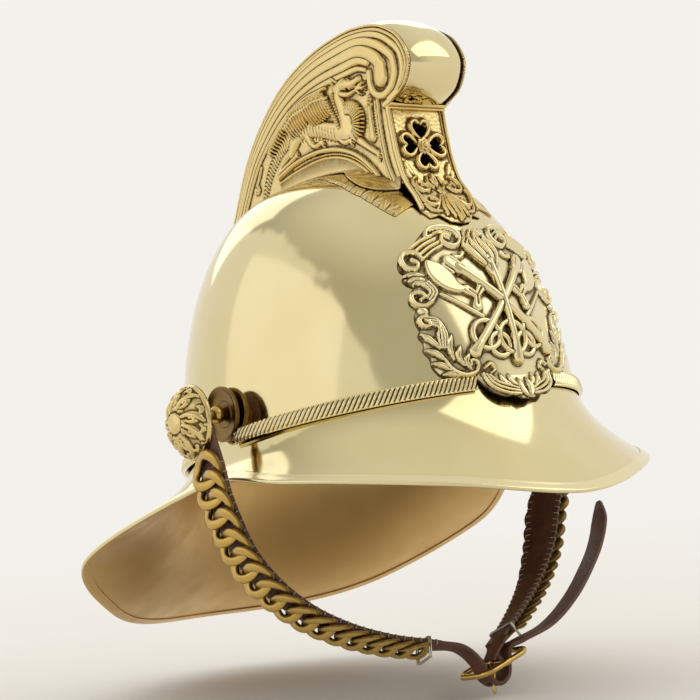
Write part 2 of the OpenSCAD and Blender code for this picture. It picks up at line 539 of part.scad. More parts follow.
// Height share of the tips of the crown leathers, and how far they hang clear of the skull
crown_hole = 0.996;
petal_t = 1.4;
petal_sink = 7;
function petal_s(k) = let(s0 = 9.2 / crown_h) s0 + (crown_hole - s0) * k;
function petal_ring(a, k) = let(s = petal_s(k), d = wall + band_gap + petal_t + petal_sink * k,
    w = 360 / petal_count * 0.4)
    [for (e = [-1, 0, 1]) skull_at(s, a + e * w, d),
     for (e = [1, 0, -1]) skull_at(s, a + e * w, d + petal_t)];
module liner_crown() color(leather)
    for (i = [0:petal_count - 1])
        loft([for (k = [0:8]) petal_ring((i + 0.5) * 360 / petal_count, sin(90 * k / 8))], false, true);
lace_r = 16.5;
lace_t = 1.2;
lace_z = skull_at(crown_hole, 90, wall + band_gap + 2 * petal_t + petal_sink).z - lace_t - 3 * gap;
module liner_lace() color([0.75, 0.68, 0.5]) translate([0, crown_lean * crown_hole, lace_z])
    rotate_extrude() translate([lace_r, 0]) circle(lace_t, $fn = 20);
module liner_clips() color(deep_brass) for (a = [40, 140, 220, 320])
    let(q = skull_at(0, a, wall + band_gap / 2 + gap))
    translate([q.x, q.y, base_z + 3]) rotate([0, 0, atan2(-cos(a) * skull_half_wid, sin(a) * skull_half_len)])
    cube([band_gap - 7 * gap, 8, 6], center = true);

// Chin strap routes down the middle of the leather, right and left, with the way its width lies
drawn_strap = 109.7;
function widen(ps) = [for (p = ps) [p.x * strap_x / drawn_strap, p.y, p.z]];
right_route = widen([[-109.7, -boss_fwd - 5, 22], [-109.7, -15.7, 6.2], [-109.7, -20.9, -7.8],
    [-108.6, -27, -20.8], [-104.2, -32.5, -36.3], [-96.9, -40.2, -49.9], [-85.7, -46.3, -61.3],
    [-68.4, -51.8, -71.6], [-50, -57, -78.6], [-24, -63.5, -84.5], [-12, -66.3, -87.4]]);
left_route = widen([[109.7, -boss_fwd - 1.5, 22], [109.9, -5.6, 9], [109.8, -6.9, -3], [106.5, -7.9, -13.8],
    [98.6, -10.5, -26], [85.4, -19.8, -44.8], [65.2, -32.4, -62.9], [37, -48, -79],
    [24, -55, -84.3], [14, -61, -88.3]]);
right_width = [for (p = right_route) [0, 1, -0.35]];
left_width = [[0, 1, -0.1], [0, 1, -0.15], [-0.08, 1, -0.15], [-0.25, 0.92, -0.1], [-0.42, 0.88, 0],
    [-0.42, 0.88, 0], [-0.25, 0.92, -0.15], [-0.1, 0.95, -0.3], [0, 0.97, -0.3], [0, 0.97, -0.2]];
right_knots = knots(right_route);
left_knots = knots(left_route);
function total(ks) = ks[len(ks) - 1];
// Frame at share k of a route: point, direction, width direction, outward direction
function frame_at(ks, ps, ws, k) = let(t = total(ks) * k, e = 0.5, p = spline(ks, ps, t),
    v = unit(spline(ks, ps, min(total(ks), t + e)) - spline(ks, ps, max(0, t - e))),
    w0 = spline(ks, ws, t), w = unit(w0 - (w0 * v) * v), n0 = cross(v, w)) [p, v, w, n0];
function right_frame(k) = let(f = frame_at(right_knots, right_route, right_width, k))
    [f[0], f[1], f[2], -f[3]];
function left_frame(k) = frame_at(left_knots, left_route, left_width, k);
function strap_wid(k) = strap_wid_top + (strap_wid_end - strap_wid_top) * k;
function strap_ring(f, w) = let(a = f[2] * w / 2, b = cross(f[1], f[2]) * leather_t / 2)
    [f[0] + a - b, f[0] - a - b, f[0] - a + b, f[0] + a + b];

// Buckle frame of reference: x along the strap, y across it, z up out of the frame
buckle_at = [6, -68.5, -96.5];
module at_buckle() translate(buckle_at) rotate([-8, -18, 0]) children();
bx = [cos(18), 0, sin(18)];
by = [sin(8) * sin(18), cos(8), -sin(8) * cos(18)];
bz = cross(bx, by);
function buckle_point(u, w) = buckle_at + u * bx + w * bz;

// The right leather runs on through the buckle, under its bar and out as the tail
threading = [[-8.6, 3.4], [-7.6, -4.6], [-4, -9], [1.6, -8.2], [6.4, -1.6], [9.6, 3.2]];
tail_route = [[21, -68.8, -88.2], [44, -65.2, -83], [68, -57.4, -72.8], [88, -49, -60.6], [102, -43, -49],
    [112, -37, -37.5], [117.6, -32, -27.8]];
end_route = concat([right_route[9], right_route[10]],
    [for (q = threading) buckle_point(q.x, q.y)], tail_route);
end_width = concat([[0, 1, -0.35], [0, 1, -0.2]], [for (q = threading) by],
    [for (q = tail_route) [0, 1, -0.15]]);
end_knots = knots(end_route);
function end_frame(k) = frame_at(end_knots, end_route, end_width, k);
function tail_wid(k) = k > 0.93 ? strap_wid_end * (1 - 0.7 * (k - 0.93) / 0.07) : strap_wid_end;
// Direction of the prong from the bar, in the buckle's x and z
prong_dir = unit([-0.44, -0.9]);
prong_turn = atan2(prong_dir.x, -prong_dir.y);
// Round end of the leather under the rosette
module strap_head(s) boss_axis(s) translate([0, 0, leather_in])
    cylinder(h = leather_out - leather_in, r = strap_wid_top / 2 + 1.5);
module strap_leather_right() color(leather) difference() {
    union() {
        loft(concat([for (k = [0:24]) strap_ring(right_frame(k / 24 * 0.93), strap_wid(k / 24 * 0.93))],
            [for (k = [1:44]) strap_ring(end_frame(k / 44), tail_wid(k / 44))]));
        strap_head(-1);
    }
    boss_axis(-1) translate([0, 0, leather_in - 2]) cylinder(h = 10, r = eyelet_r + gap);
    at_buckle() rotate([0, prong_turn, 0]) translate([-4, -1.6, -prong_len - 1]) cube([8, 3.2, 11]);
}
loop_r = bar_r + 2.1;
module strap_leather_left() color(leather) difference() {
    union() {
        loft([for (k = [0:24]) strap_ring(left_frame(k / 24), strap_wid(k / 24))]);
        loft([for (k = [0:4]) let(a = left_frame(1)[0], b = buckle_point(1.4, 2.2),
            p = a + (b - a) * (k / 4 * 1.06 - 0.06),
            f = [p, unit(b - a), left_frame(1)[2]]) strap_ring(f, strap_wid_end)]);
        strap_head(1);
        at_buckle() rotate([90, 0, 0]) cylinder(h = strap_wid_end - 1, r = loop_r, center = true);
    }
    boss_axis(1) translate([0, 0, leather_in - 2]) cylinder(h = 10, r = eyelet_r + gap);
    at_buckle() rotate([90, 0, 0]) {
        cylinder(h = 30, r = bar_r + bar_gap, center = true);
        cylinder(h = 3.4, r = loop_r + 0.6, center = true);
    }
}

// Curb chain: oval links whose wire weaves over one neighbour and under the next
function link_scale(k) = 1 - (1 - link_taper) * k;
function link_rings(f, a, b, h, r) = [for (i = [0:13]) let(q = i * 360 / 14,
    c = [a * cos(q), b * sin(q), h * sin(2 * q)], d = unit([-a * sin(q), b * cos(q), 2 * h * cos(2 * q)]),
    e = unit(cross(d, [0, 0, 1])), g = cross(e, d))
    [for (j = [0:4]) let(m = c + r * (e * cos(j * 72) + g * sin(j * 72)))
        f[0] + m.x * f[1] + m.y * f[2] + m.z * f[3]]];
// Lengths along the routes at which the chains begin; the left one starts lower and has a link less
chain_top_right = 18;
chain_top_left = 21.5;
chain_pitch = 1.33 * link_half_len;
link_rise = 1.25 * link_wire;
// Places of the links as lengths along the route, each pitch as small as its link
function link_places(n, at, i = 0) = i >= n ? [] :
    concat([at], link_places(n, at + chain_pitch * link_scale((i + 0.5) / link_count), i + 1));
right_places = link_places(link_count, chain_top_right);
left_places = link_places(link_count - 1, chain_top_left);
// Frame of a link, lifted off the leather by its own height
function link_frame(f, c) = [f[0] + f[3] * (leather_t / 2 + 3 * gap + (link_rise + link_wire) * c),
    f[1], f[2], f[3]];
module one_link(f, k, flip) let(c = link_scale(k), g = link_frame(f, c))
    loft(link_rings(g, link_half_len * c, link_half_wid * c, link_rise * c, link_wire * c), true, flip);
module chain_right() color(deep_brass) for (i = [0:len(right_places) - 1])
    one_link(right_frame(right_places[i] / total(right_knots)), i / link_count, true);
module chain_left() color(deep_brass) for (i = [0:len(left_places) - 1])
    one_link(left_frame(left_places[i] / total(left_knots)), i / link_count, false);

// Wire ties that hold the ends of the chains to the leather
function tie_rings(f, w, low, high, r) = let(q = [[-w, low], [w, low], [w, high], [-w, high]])
    [for (i = [0:3]) let(c = q[i], o = [sign(c.x), i < 2 ? -1 : 1])
        [for (j = [0:4]) let(m = c + r * cos(j * 72) * o)
            f[0] + m.x * f[2] + m.y * f[3] + r * sin(j * 72) * f[1]]];
module tie(f, w, over, flip) loft(tie_rings(f, w / 2 + 1.1, -leather_t / 2 - 0.8,
    leather_t / 2 + 0.2 + over, 0.45), true, flip);
// Share of the route at which a chain's tie lies, over the end of its last link
function tie_share(places, whole) = let(last = len(places) - 1, c = link_scale(last / link_count))
    (places[last] + (link_half_len - 0.4 * link_wire) * c) / whole;
function tie_over(places) = 2 * (link_rise + link_wire) * link_scale((len(places) - 1) / link_count) + 1.1;
module chain_ties() color([0.6, 0.58, 0.5]) {
    r = tie_share(right_places, total(right_knots));
    l = tie_share(left_places, total(left_knots));
    tie(right_frame(r), strap_wid(r), tie_over(right_places), true);
    tie(left_frame(l), strap_wid(l), tie_over(left_places), false);
}

module strap_eyelets() color(deep_brass) for (s = [-1, 1]) boss_axis(s) rotate_extrude()
    polygon([[stud_r + stud_gap, leather_in - 1],
    [eyelet_r + 2, leather_in - 1], [eyelet_r + 2, leather_in - 0.1], [eyelet_r, leather_in - 0.1],
    [eyelet_r, leather_out], [stud_r + stud_gap, leather_out]]);

// Rosettes: hollow embossed domes on the strap's ends, free on the studs
rosette_at = leather_out + 0.1;
function dome(r, h) = [r * rosette_r, rosette_at + h * rosette_dome];
module rosette(s) boss_axis(s) difference() {
    translate([s * rosette_drop, 0, 0]) rotate_extrude() polygon([dome(0, 0), dome(0.94, 0), dome(1, 0.07),
        dome(1, 0.15), dome(0.86, 0.4), dome(0.64, 0.68), dome(0.42, 0.84), dome(0.34, 0.88),
        dome(0.24, 0.97), dome(0, 1), dome(0, 0.9), dome(0.4, 0.72), dome(0.62, 0.56),
        dome(0.84, 0.26), dome(0.84, 0.1), dome(0, 0.1)]);
    translate([0, 0, rosette_at - 1]) cylinder(h = 3, r = stud_r + stud_gap);
}
module rosette_right() color(brass) rosette(-1);
module rosette_left() color(brass) rosette(1);

// Buckle: oval frame with a middle bar, and the prong that turns on the bar
module buckle_frame() color(deep_brass) at_buckle() {
    c = 7;
    for (s = [-1, 1], t = [-1, 1]) translate([s * (buckle_half_len - c), t * (buckle_half_wid - c), 0])
        rotate([0, 0, s > 0 ? (t > 0 ? 0 : 270) : (t > 0 ? 90 : 180)])
        rotate_extrude(angle = 90) translate([c, 0]) circle(buckle_wire, $fn = 20);
    for (t = [-1, 1]) translate([0, t * buckle_half_wid, 0]) rotate([0, 90, 0])
        cylinder(h = 2 * (buckle_half_len - c), r = buckle_wire, center = true, $fn = 20);
    for (s = [-1, 1]) translate([s * buckle_half_len, 0, 0]) rotate([90, 0, 0])
        cylinder(h = 2 * (buckle_half_wid - c), r = buckle_wire, center = true, $fn = 20);
    rotate([90, 0, 0]) cylinder(h = 2 * buckle_half_wid, r = bar_r, center = true);
}
module buckle_prong() color(brass) at_buckle() difference() {
    union() {
        rotate([90, 0, 0]) cylinder(h = 2.6, r = bar_r + 1.2, center = true);
        rotate([0, prong_turn + 180, 0]) translate([0, 0, bar_r + 0.6])
            cylinder(h = prong_len - bar_r - 0.6, r1 = 1.1, r2 = 0.6, $fn = 24);
    }
    rotate([90, 0, 0]) cylinder(h = 4, r = bar_r + bar_gap, center = true);
}

skull_shell();
front_peak();
neck_guard();
edge_binding();
rope_band_front();
rope_band_rear();
comb_side_right();
comb_side_left();
comb_top_roll();
comb_front_plate();
quatrefoil_boss();
comb_foot_right();
comb_foot_left();
comb_screws();
comb_nuts();
badge_plate();
badge_trophy();
badge_studs();
badge_nuts();
boss_base_right();
boss_base_left();
boss_stud_right();
boss_stud_left();
boss_nuts();
liner_sweatband();
liner_crown();
liner_lace();
liner_clips();
strap_leather_right();
strap_leather_left();
chain_right();
chain_left();
chain_ties();
strap_eyelets();
rosette_right();
rosette_left();
buckle_frame();
buckle_prong();
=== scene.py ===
import math

import bmesh
import bpy
import numpy as np
from mathutils import Matrix, Vector


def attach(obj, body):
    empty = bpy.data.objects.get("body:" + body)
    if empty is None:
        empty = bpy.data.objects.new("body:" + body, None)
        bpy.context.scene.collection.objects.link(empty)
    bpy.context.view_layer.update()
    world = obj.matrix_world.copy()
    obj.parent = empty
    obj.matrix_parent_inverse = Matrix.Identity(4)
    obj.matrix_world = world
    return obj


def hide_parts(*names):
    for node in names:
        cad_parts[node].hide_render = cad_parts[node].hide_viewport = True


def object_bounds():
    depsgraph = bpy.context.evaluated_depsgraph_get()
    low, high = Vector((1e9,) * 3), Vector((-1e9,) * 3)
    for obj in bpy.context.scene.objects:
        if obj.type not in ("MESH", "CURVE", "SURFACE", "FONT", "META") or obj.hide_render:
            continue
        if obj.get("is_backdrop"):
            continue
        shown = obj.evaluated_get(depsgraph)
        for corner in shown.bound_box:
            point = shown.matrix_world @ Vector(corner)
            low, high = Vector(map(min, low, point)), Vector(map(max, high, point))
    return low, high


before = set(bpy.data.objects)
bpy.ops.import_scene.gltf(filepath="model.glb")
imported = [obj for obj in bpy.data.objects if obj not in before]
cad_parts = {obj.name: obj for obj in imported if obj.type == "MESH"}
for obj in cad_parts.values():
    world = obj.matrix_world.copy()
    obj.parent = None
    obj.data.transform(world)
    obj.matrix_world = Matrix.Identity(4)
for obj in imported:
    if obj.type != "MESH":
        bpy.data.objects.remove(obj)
cad_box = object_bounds()
MM = 0.001  # every shape here is in mm, and becomes metres when it is built
SIDES = (("right", -1), ("left", 1))


# Shapes
def unit(v):
    v = np.asarray(v, float)
    return v / np.maximum(np.linalg.norm(v, axis=-1, keepdims=True), 1e-9)


class Spline:
    """Smooth curve through points; place is a length along the knots."""

    def __init__(self, points, knots=None):
        self.p = np.array(points, float)
        if self.p.ndim == 1:
            self.p = self.p[:, None]
        steps = np.linalg.norm(np.diff(self.p, axis=0), axis=1)
        self.k = np.array(knots, float) if knots is not None else np.r_[0, np.cumsum(steps)]
        d = np.diff(self.k)[:, None]
        s = np.diff(self.p, axis=0) / d
        inner = (s[:-1] * d[1:] + s[1:] * d[:-1]) / (d[:-1] + d[1:])
        self.m = np.vstack([s[:1], inner, s[-1:]])
        self.end = self.k[-1]

    def __call__(self, t):
        t = np.atleast_1d(np.asarray(t, float))
        i = np.clip(np.searchsorted(self.k, t, side="right") - 1, 0, len(self.k) - 2)
        h = (self.k[i + 1] - self.k[i])[:, None]
        u = ((t - self.k[i])[:, None]) / h
        return (self.p[i] * (2 * u**3 - 3 * u**2 + 1) + self.m[i] * h * (u**3 - 2 * u**2 + u)
                + self.p[i + 1] * (3 * u**2 - 2 * u**3) + self.m[i + 1] * h * (u**3 - u**2))

    def share(self, n):
        return self(np.linspace(0, 1, n) * self.end)


class Shape:
    """Collects closed meshes in mm, and becomes one piece."""

    def __init__(self):
        self.v, self.f, self.m, self.c, self.n = [], [], [], [], 0

    def add(self, verts, faces, mat=0, cav=0.0):
        """One closed mesh; cav is how hollow each point lies, for the darkening in the material, which is
        tarnish and painted shade.
        """
        verts = np.asarray(verts, float).reshape(-1, 3)
        faces = [[int(i) + self.n for i in f] for f in faces]
        self.v.append(verts)
        self.f += faces
        self.m += list(mat) if hasattr(mat, "__len__") else [mat] * len(faces)
        self.c.append(np.broadcast_to(np.asarray(cav, float), len(verts)))
        self.n += len(verts)
        return self

    def build(self, name, mats, body, slot, *replaces, angle=40):
        """Makes the piece on its body, with edges sharp above an angle; the slot is not used."""
        me = bpy.data.meshes.new(name)
        me.from_pydata((np.vstack(self.v) * MM).tolist(), [], self.f)
        me.polygons.foreach_set("material_index", self.m)
        me.polygons.foreach_set("use_smooth", [True] * len(self.f))
        att = me.attributes.new("cav", "FLOAT", "POINT")
        att.data.foreach_set("value", np.concatenate(self.c).astype(np.float32))
        for m in mats:
            me.materials.append(m)
        bm = bmesh.new()
        bm.from_mesh(me)
        bmesh.ops.recalc_face_normals(bm, faces=bm.faces)
        bm.to_mesh(me)
        bm.free()
        me.set_sharp_from_angle(angle=math.radians(angle))
        me.validate()
        o = bpy.data.objects.new(name, me)
        bpy.context.scene.collection.objects.link(o)
        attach(o, body)
        if replaces:
            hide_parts(*replaces)
        return o


def quads(nu, nv, wrap_u=False, wrap_v=False):
    """Faces between nu rows of nv points."""
    u = np.arange(nu if wrap_u else nu - 1)
    v = np.arange(nv if wrap_v else nv - 1)
    a, b = np.meshgrid(u, v, indexing="ij")
    a, b = a.ravel(), b.ravel()
    c, d = (a + 1) % nu, (b + 1) % nv
    return np.stack([a * nv + b, c * nv + b, c * nv + d, a * nv + d], 1)


def loft(shape, rings, wrap=False, cav=0.0, side_mat=None):
    """Closed rings of points joined in order; the two ends are capped unless wrapped.

    side_mat gives the material of each face round a ring.
    """
    rings = np.asarray(rings, float)
    m, n = rings.shape[:2]
    faces = quads(m, n, wrap, True).tolist()
    mats = [side_mat[i % n] if side_mat else 0 for i in range(len(faces))]
    if not wrap:
        faces += [list(range(n)), [(m - 1) * n + i for i in range(n)][::-1]]
        mats += [0, 0]
    shape.add(rings.reshape(-1, 3), faces, mats, cav)


def frames_along(path, closed=False, up=None):
    """Direction of a path at each point, and two directions square to it."""
    path = np.asarray(path, float)
    if closed:
        v = unit(np.roll(path, -1, 0) - np.roll(path, 1, 0))
    else:
        v = unit(np.gradient(path, axis=0))
    if up is not None:
        a = unit(np.cross(v, np.broadcast_to(np.asarray(up, float), v.shape)))
        return v, a, np.cross(a, v)
    a = np.cross(v[0], [0.3, 0.5, 0.81])
    out = []
    for d in v:
        a = unit(a - np.dot(a, d) * d)
        out.append(a)
    a = np.array(out)
    return v, a, np.cross(v, a)


def tube(shape, path, r, n=10, closed=False, up=None, cav=0.0):
    """Round tube of n sides along a path; r is one radius or one at each point."""
    path = np.asarray(path, float)
    _, a, b = frames_along(path, closed, up)
    r = np.broadcast_to(np.asarray(r, float), (len(path),))
    q = np.linspace(0, 2 * np.pi, n, endpoint=False)
    rings = (path[:, None] + (r[:, None] * np.cos(q))[..., None] * a[:, None]
             + (r[:, None] * np.sin(q))[..., None] * b[:, None])
    loft(shape, rings, wrap=closed, cav=cav)


def capsule(shape, a, b, r, n=7, cav=0.0):
    """Short rod from a to b with rounded ends."""
    a, b = np.asarray(a, float), np.asarray(b, float)
    ks = np.array([0, 0.08, 0.3, 0.7, 0.92, 1])
    rs = r * np.array([0.35, 0.8, 1, 1, 0.8, 0.35])
    tube(shape, a + (b - a) * ks[:, None], rs, n, cav=cav)


def revolve(shape, profile, place, n=96, cav=0.0):
    """Closed profile of (radius, height) points turned about an axis."""
    p = np.asarray(profile, float)
    q = np.linspace(0, 2 * np.pi, n, endpoint=False)
    rings = np.stack([np.cos(q)[:, None] * p[:, 0], np.sin(q)[:, None] * p[:, 0],
                      np.broadcast_to(p[:, 1], (n, len(p)))], -1)
    loft(shape, place(rings), wrap=True, cav=cav)


def arc_points(c, r, a0, a1, n):
    q = np.radians(np.linspace(a0, a1, n))
    return [(c[0] + r * math.cos(t), c[1] + r * math.sin(t)) for t in q]


# Relief
def seg_distance(px, py, poly, closed=False):
    """Distance to a polyline, with the nearest place along it in 0..1."""
    poly = np.asarray(poly, float)
    a, b = (poly, np.roll(poly, -1, 0)) if closed else (poly[:-1], poly[1:])
    best = np.full(px.shape, 1e9)
    place = np.zeros(px.shape)
    for i, (p, q) in enumerate(zip(a, b)):
        d = q - p
        t = np.clip(((px - p[0]) * d[0] + (py - p[1]) * d[1]) / max(d @ d, 1e-12), 0, 1)
        e = (px - p[0] - t * d[0])**2 + (py - p[1] - t * d[1])**2
        near = e < best
        best = np.where(near, e, best)
        place = np.where(near, (i + t) / len(a), place)
    return np.sqrt(best), place


def inside(px, py, poly):
    """Which points lie inside a closed polygon."""
    poly = np.asarray(poly, float)
    odd = np.zeros(px.shape, bool)
    for (x0, y0), (x1, y1) in zip(poly, np.roll(poly, -1, 0)):
        if y0 == y1:
            continue
        cross = ((py >= min(y0, y1)) & (py < max(y0, y1))
                 & (px < x0 + (py - y0) * (x1 - x0) / (y1 - y0)))
        odd ^= cross
    return odd


def blurred(h, n):
    """Heights smoothed twice each way over n points on both sides."""
    for axis in (0, 1):
        for _ in range(2):
            p = np.pad(h, [(n, n) if k == axis else (0, 0) for k in (0, 1)], mode="edge")
            c = np.cumsum(p, axis=axis)
            c = np.concatenate([np.zeros_like(np.take(c, [0], axis)), c], axis)
            hi = np.take(c, range(2 * n + 1, c.shape[axis]), axis)
            lo = np.take(c, range(0, c.shape[axis] - 2 * n - 1), axis)
            h = (hi - lo) / (2 * n + 1)
    return h


class Relief:
    """A field of heights over a sheet, worked with strokes, fills, beads and grooves."""

    def __init__(self, u0, u1, v0, v1, pitch, base=0.0):
        self.pitch = pitch
        u = np.linspace(u0, u1, int(round((u1 - u0) / pitch)) + 1)
        v = np.linspace(v0, v1, int(round((v1 - v0) / pitch)) + 1)
        self.u, self.v = u, v
        self.U, self.V = np.meshgrid(u, v, indexing="ij")
        self.h = np.full(self.U.shape, float(base))
        self.shade = None

    def window(self, pts, r):
        """The part of the grid that lies within r of the points."""
        pts = np.asarray(pts, float)
        lo, hi = pts.min(0) - r, pts.max(0) + r
        a, b = np.searchsorted(self.u, [lo[0], hi[0]])
        c, d = np.searchsorted(self.v, [lo[1], hi[1]])
        return slice(max(a - 1, 0), b + 1), slice(max(c - 1, 0), d + 1)

    def line(self, pts, r):
        """Window round a smooth line, distance from it as a share of r, and place along it."""
        pts = np.asarray(pts, float)
        if len(pts) > 2:
            s = Spline(pts)
            pts = s.share(max(6, int(s.end / 0.9)))
        w = self.window(pts, np.max(r) + 0.2)
        d, k = seg_distance(self.U[w], self.V[w], pts)
        rad = np.interp(k, np.linspace(0, 1, len(np.atleast_1d(r))), np.atleast_1d(r))
        return w, d / np.maximum(rad, 0.05), k

    def stroke(self, pts, r, h, power=2.0, base=0.0):
        """Raised line of half width r and height h; a higher power gives a flatter top."""
        w, q, k = self.line(pts, r)
        hh = np.interp(k, np.linspace(0, 1, len(np.atleast_1d(h))), np.atleast_1d(h))
        rise = hh * np.maximum(0, 1 - np.minimum(q, 1)**power)**0.5
        self.h[w] = np.where(q < 1, np.maximum(self.h[w], base + rise), self.h[w])
        return self

    def groove(self, pts, r, depth):
        w, q, _ = self.line(pts, r)
        self.h[w] -= depth * np.maximum(0, 1 - q**2)
        return self

    def bead(self, c, r, h, base=0.0):
        return self.stroke([c, (c[0] + 0.01, c[1])], r, h, 2.0, base)

    def fill(self, poly, h, edge):
        """Raised field with an edge that rounds off over a width."""
        w = self.window(poly, 0.5)
        d, _ = seg_distance(self.U[w], self.V[w], poly, True)
        ins = inside(self.U[w], self.V[w], poly)
        q = np.clip(d / edge, 0, 1)
        rise = h * np.sqrt(np.maximum(0, 1 - (1 - q)**2))
        self.h[w] = np.where(ins, np.maximum(self.h[w], rise), self.h[w])
        return self

    def leaf(self, pts, r, h, vein=0.35):
        self.stroke(pts, [0.25 * r, r, 0.8 * r, 0.15 * r], h)
        self.groove(pts, 0.3 * r, vein)
        return self

    def spiral(self, c, r0, r1, a0, turns, w, h):
        q = np.linspace(0, 1, 26)
        a = np.radians(a0) + q * turns * 2 * np.pi
        r = r0 + (r1 - r0) * q
        self.stroke(np.stack([c[0] + r * np.cos(a), c[1] + r * np.sin(a)], 1), w, h)
        return self.bead(c, abs(r1) + 0.5, h * 1.15)

    def cavity(self):
        """Hollows are above 0 and ridges below, for the darkening in the material, which is tarnish and
        painted shade.
        """
        near = blurred(self.h, max(1, int(round(0.45 / self.pitch)))) - self.h
        wide = blurred(self.h, max(1, int(round(1.8 / self.pitch)))) - self.h
        return np.clip(near * 4.6 + wide * 0.5, -1, 1)

    def sheet(self, shape, place, outline=None, holes=(), back=-0.8, keep=None, flat_back=False):
        """Closes the field to a solid: face, walls round outline and holes, and a back."""
        U, V = self.U.copy(), self.V.copy()
        good = np.ones(U.shape, bool) if keep is None else keep
        cell = (good[:-1, :-1] & good[1:, :-1] & good[:-1, 1:] & good[1:, 1:])
        mu = (U[:-1, :-1] + U[1:, 1:]) / 2
        mv = (V[:-1, :-1] + V[1:, 1:]) / 2
        if outline is not None:
            cell &= inside(mu, mv, outline)
        for h in holes:
            cell &= ~inside(mu, mv, h)
        pad = np.pad(cell, 1)
        around = [pad[:-1, :-1], pad[1:, :-1], pad[:-1, 1:], pad[1:, 1:]]
        used = np.any(around, 0)
        edge = used & ~np.all(around, 0)
        loops = ([outline] if outline is not None else []) + list(holes)
        if loops:
            iu, iv = np.nonzero(edge)
            x, y = U[iu, iv], V[iu, iv]
            best = np.full(len(x), 1e9)
            bx, by = x.copy(), y.copy()
            for poly in loops:
                poly = np.asarray(poly, float)
                for p, q in zip(poly, np.roll(poly, -1, 0)):
                    d = q - p
                    t = np.clip(((x - p[0]) * d[0] + (y - p[1]) * d[1]) / max(d @ d, 1e-12), 0, 1)
                    cx, cy = p[0] + t * d[0], p[1] + t * d[1]
                    e = (x - cx)**2 + (y - cy)**2
                    near = e < best
                    best = np.where(near, e, best)
                    bx, by = np.where(near, cx, bx), np.where(near, cy, by)
            ok = best < (1.3 * self.pitch)**2
            U[iu[ok], iv[ok]], V[iu[ok], iv[ok]] = bx[ok], by[ok]
        index = np.full(U.shape, -1)
        index[used] = np.arange(used.sum())
        u, v, h = U[used], V[used], self.h[used]
        n = len(u)
        cav = (self.cavity() if self.shade is None else self.shade)[used]
        top, bottom = place(u, v, h), place(u, v, np.full(n, float(back)))
        i, j = np.nonzero(cell)
        f = np.stack([index[i, j], index[i + 1, j], index[i + 1, j + 1], index[i, j + 1]], 1)
        walls = []
        for di, dj, p, q in ((-1, 0, (0, 1), (0, 0)), (1, 0, (1, 0), (1, 1)),
                             (0, -1, (0, 0), (1, 0)), (0, 1, (1, 1), (0, 1))):
            out = ~pad[1 + i + di, 1 + j + dj]
            a = index[i[out] + p[0], j[out] + p[1]]
            c = index[i[out] + q[0], j[out] + q[1]]
            walls.append(np.stack([a, a + n, c + n, c], 1))
        walls = np.vstack(walls)
        faces = f.tolist() + walls.tolist()
        step = {int(w[0]): int(w[3]) for w in walls} if flat_back else {}
        if flat_back and len(step) == len(walls):
            left = set(step)
            while left:
                start = cur = left.pop()
                loop = [cur + n]
                while step[cur] != start:
                    cur = step[cur]
                    left.discard(cur)
                    loop.append(cur + n)
                faces.append(loop)
        else:
            faces += (f[:, ::-1] + n).tolist()
        # The back gets a fixed cav of 0.6, so the back and the walls round the sheet are darkened: painted
        # shade.
        shape.add(np.vstack([top, bottom]), faces, 0, np.r_[cav, np.full(n, 0.6)])


# Materials
def material(name, color, rough, metallic=1.0, **more):
    """New material with its tree and its shader."""
    m = bpy.data.materials.new(name)
    m.use_nodes = True
    t = m.node_tree
    s = t.nodes["Principled BSDF"]
    s.inputs["Base Color"].default_value = (*color, 1)
    s.inputs["Roughness"].default_value = rough
    s.inputs["Metallic"].default_value = metallic
    for k, v in more.items():
        s.inputs[k.replace("_", " ")].default_value = v
    return m, t, s


def node(t, kind, **kw):
    n = t.nodes.new(kind)
    for k, v in kw.items():
        if k in n.inputs:
            n.inputs[k].default_value = v
        else:
            setattr(n, k, v)
    return n


def noise(t, scale, detail=4.0, rough=0.55, stretch=(1, 1, 1)):
    """Noise that stays fixed to the piece."""
    co = node(t, "ShaderNodeTexCoord")
    mp = node(t, "ShaderNodeMapping")
    mp.inputs["Scale"].default_value = stretch
    n = node(t, "ShaderNodeTexNoise", Scale=scale, Detail=detail, Roughness=rough)
    t.links.new(co.outputs["Object"], mp.inputs["Vector"])
    t.links.new(mp.outputs["Vector"], n.inputs["Vector"])
    return n.outputs["Fac"]


def ramp(t, fac, stops):
    r = node(t, "ShaderNodeValToRGB")
    while len(r.color_ramp.elements) < len(stops):
        r.color_ramp.elements.new(0.5)
    for e, (p, c) in zip(r.color_ramp.elements, stops):
        e.position = p
        e.color = (*c, 1) if len(c) == 3 else c
    t.links.new(fac, r.inputs["Fac"])
    return r.outputs["Color"]


def mix(t, fac, a, b):
    m = node(t, "ShaderNodeMix", data_type="RGBA")
    for sock, val in ((m.inputs[0], fac), (m.inputs[6], a), (m.inputs[7], b)):
        if isinstance(val, bpy.types.NodeSocket):
            t.links.new(val, sock)
        else:
            sock.default_value = (*val, 1) if isinstance(val, tuple) else val
    return m.outputs[2]


def spread(t, fac, lo, hi, a=0.3, b=0.7):
    """Takes values from a to b to values from lo to hi."""
    m = node(t, "ShaderNodeMapRange")
    m.inputs["From Min"].default_value, m.inputs["From Max"].default_value = a, b
    m.inputs["To Min"].default_value, m.inputs["To Max"].default_value = lo, hi
    t.links.new(fac, m.inputs["Value"])
    return m.outputs["Result"]


def bump(t, s, height, strength, distance, chain=None):
    b = node(t, "ShaderNodeBump", Strength=strength, Distance=distance)
    t.links.new(height, b.inputs["Height"])
    if chain is not None:
        t.links.new(chain, b.inputs["Normal"])
    t.links.new(b.outputs["Normal"], s.inputs["Normal"])
    return b.outputs["Normal"]


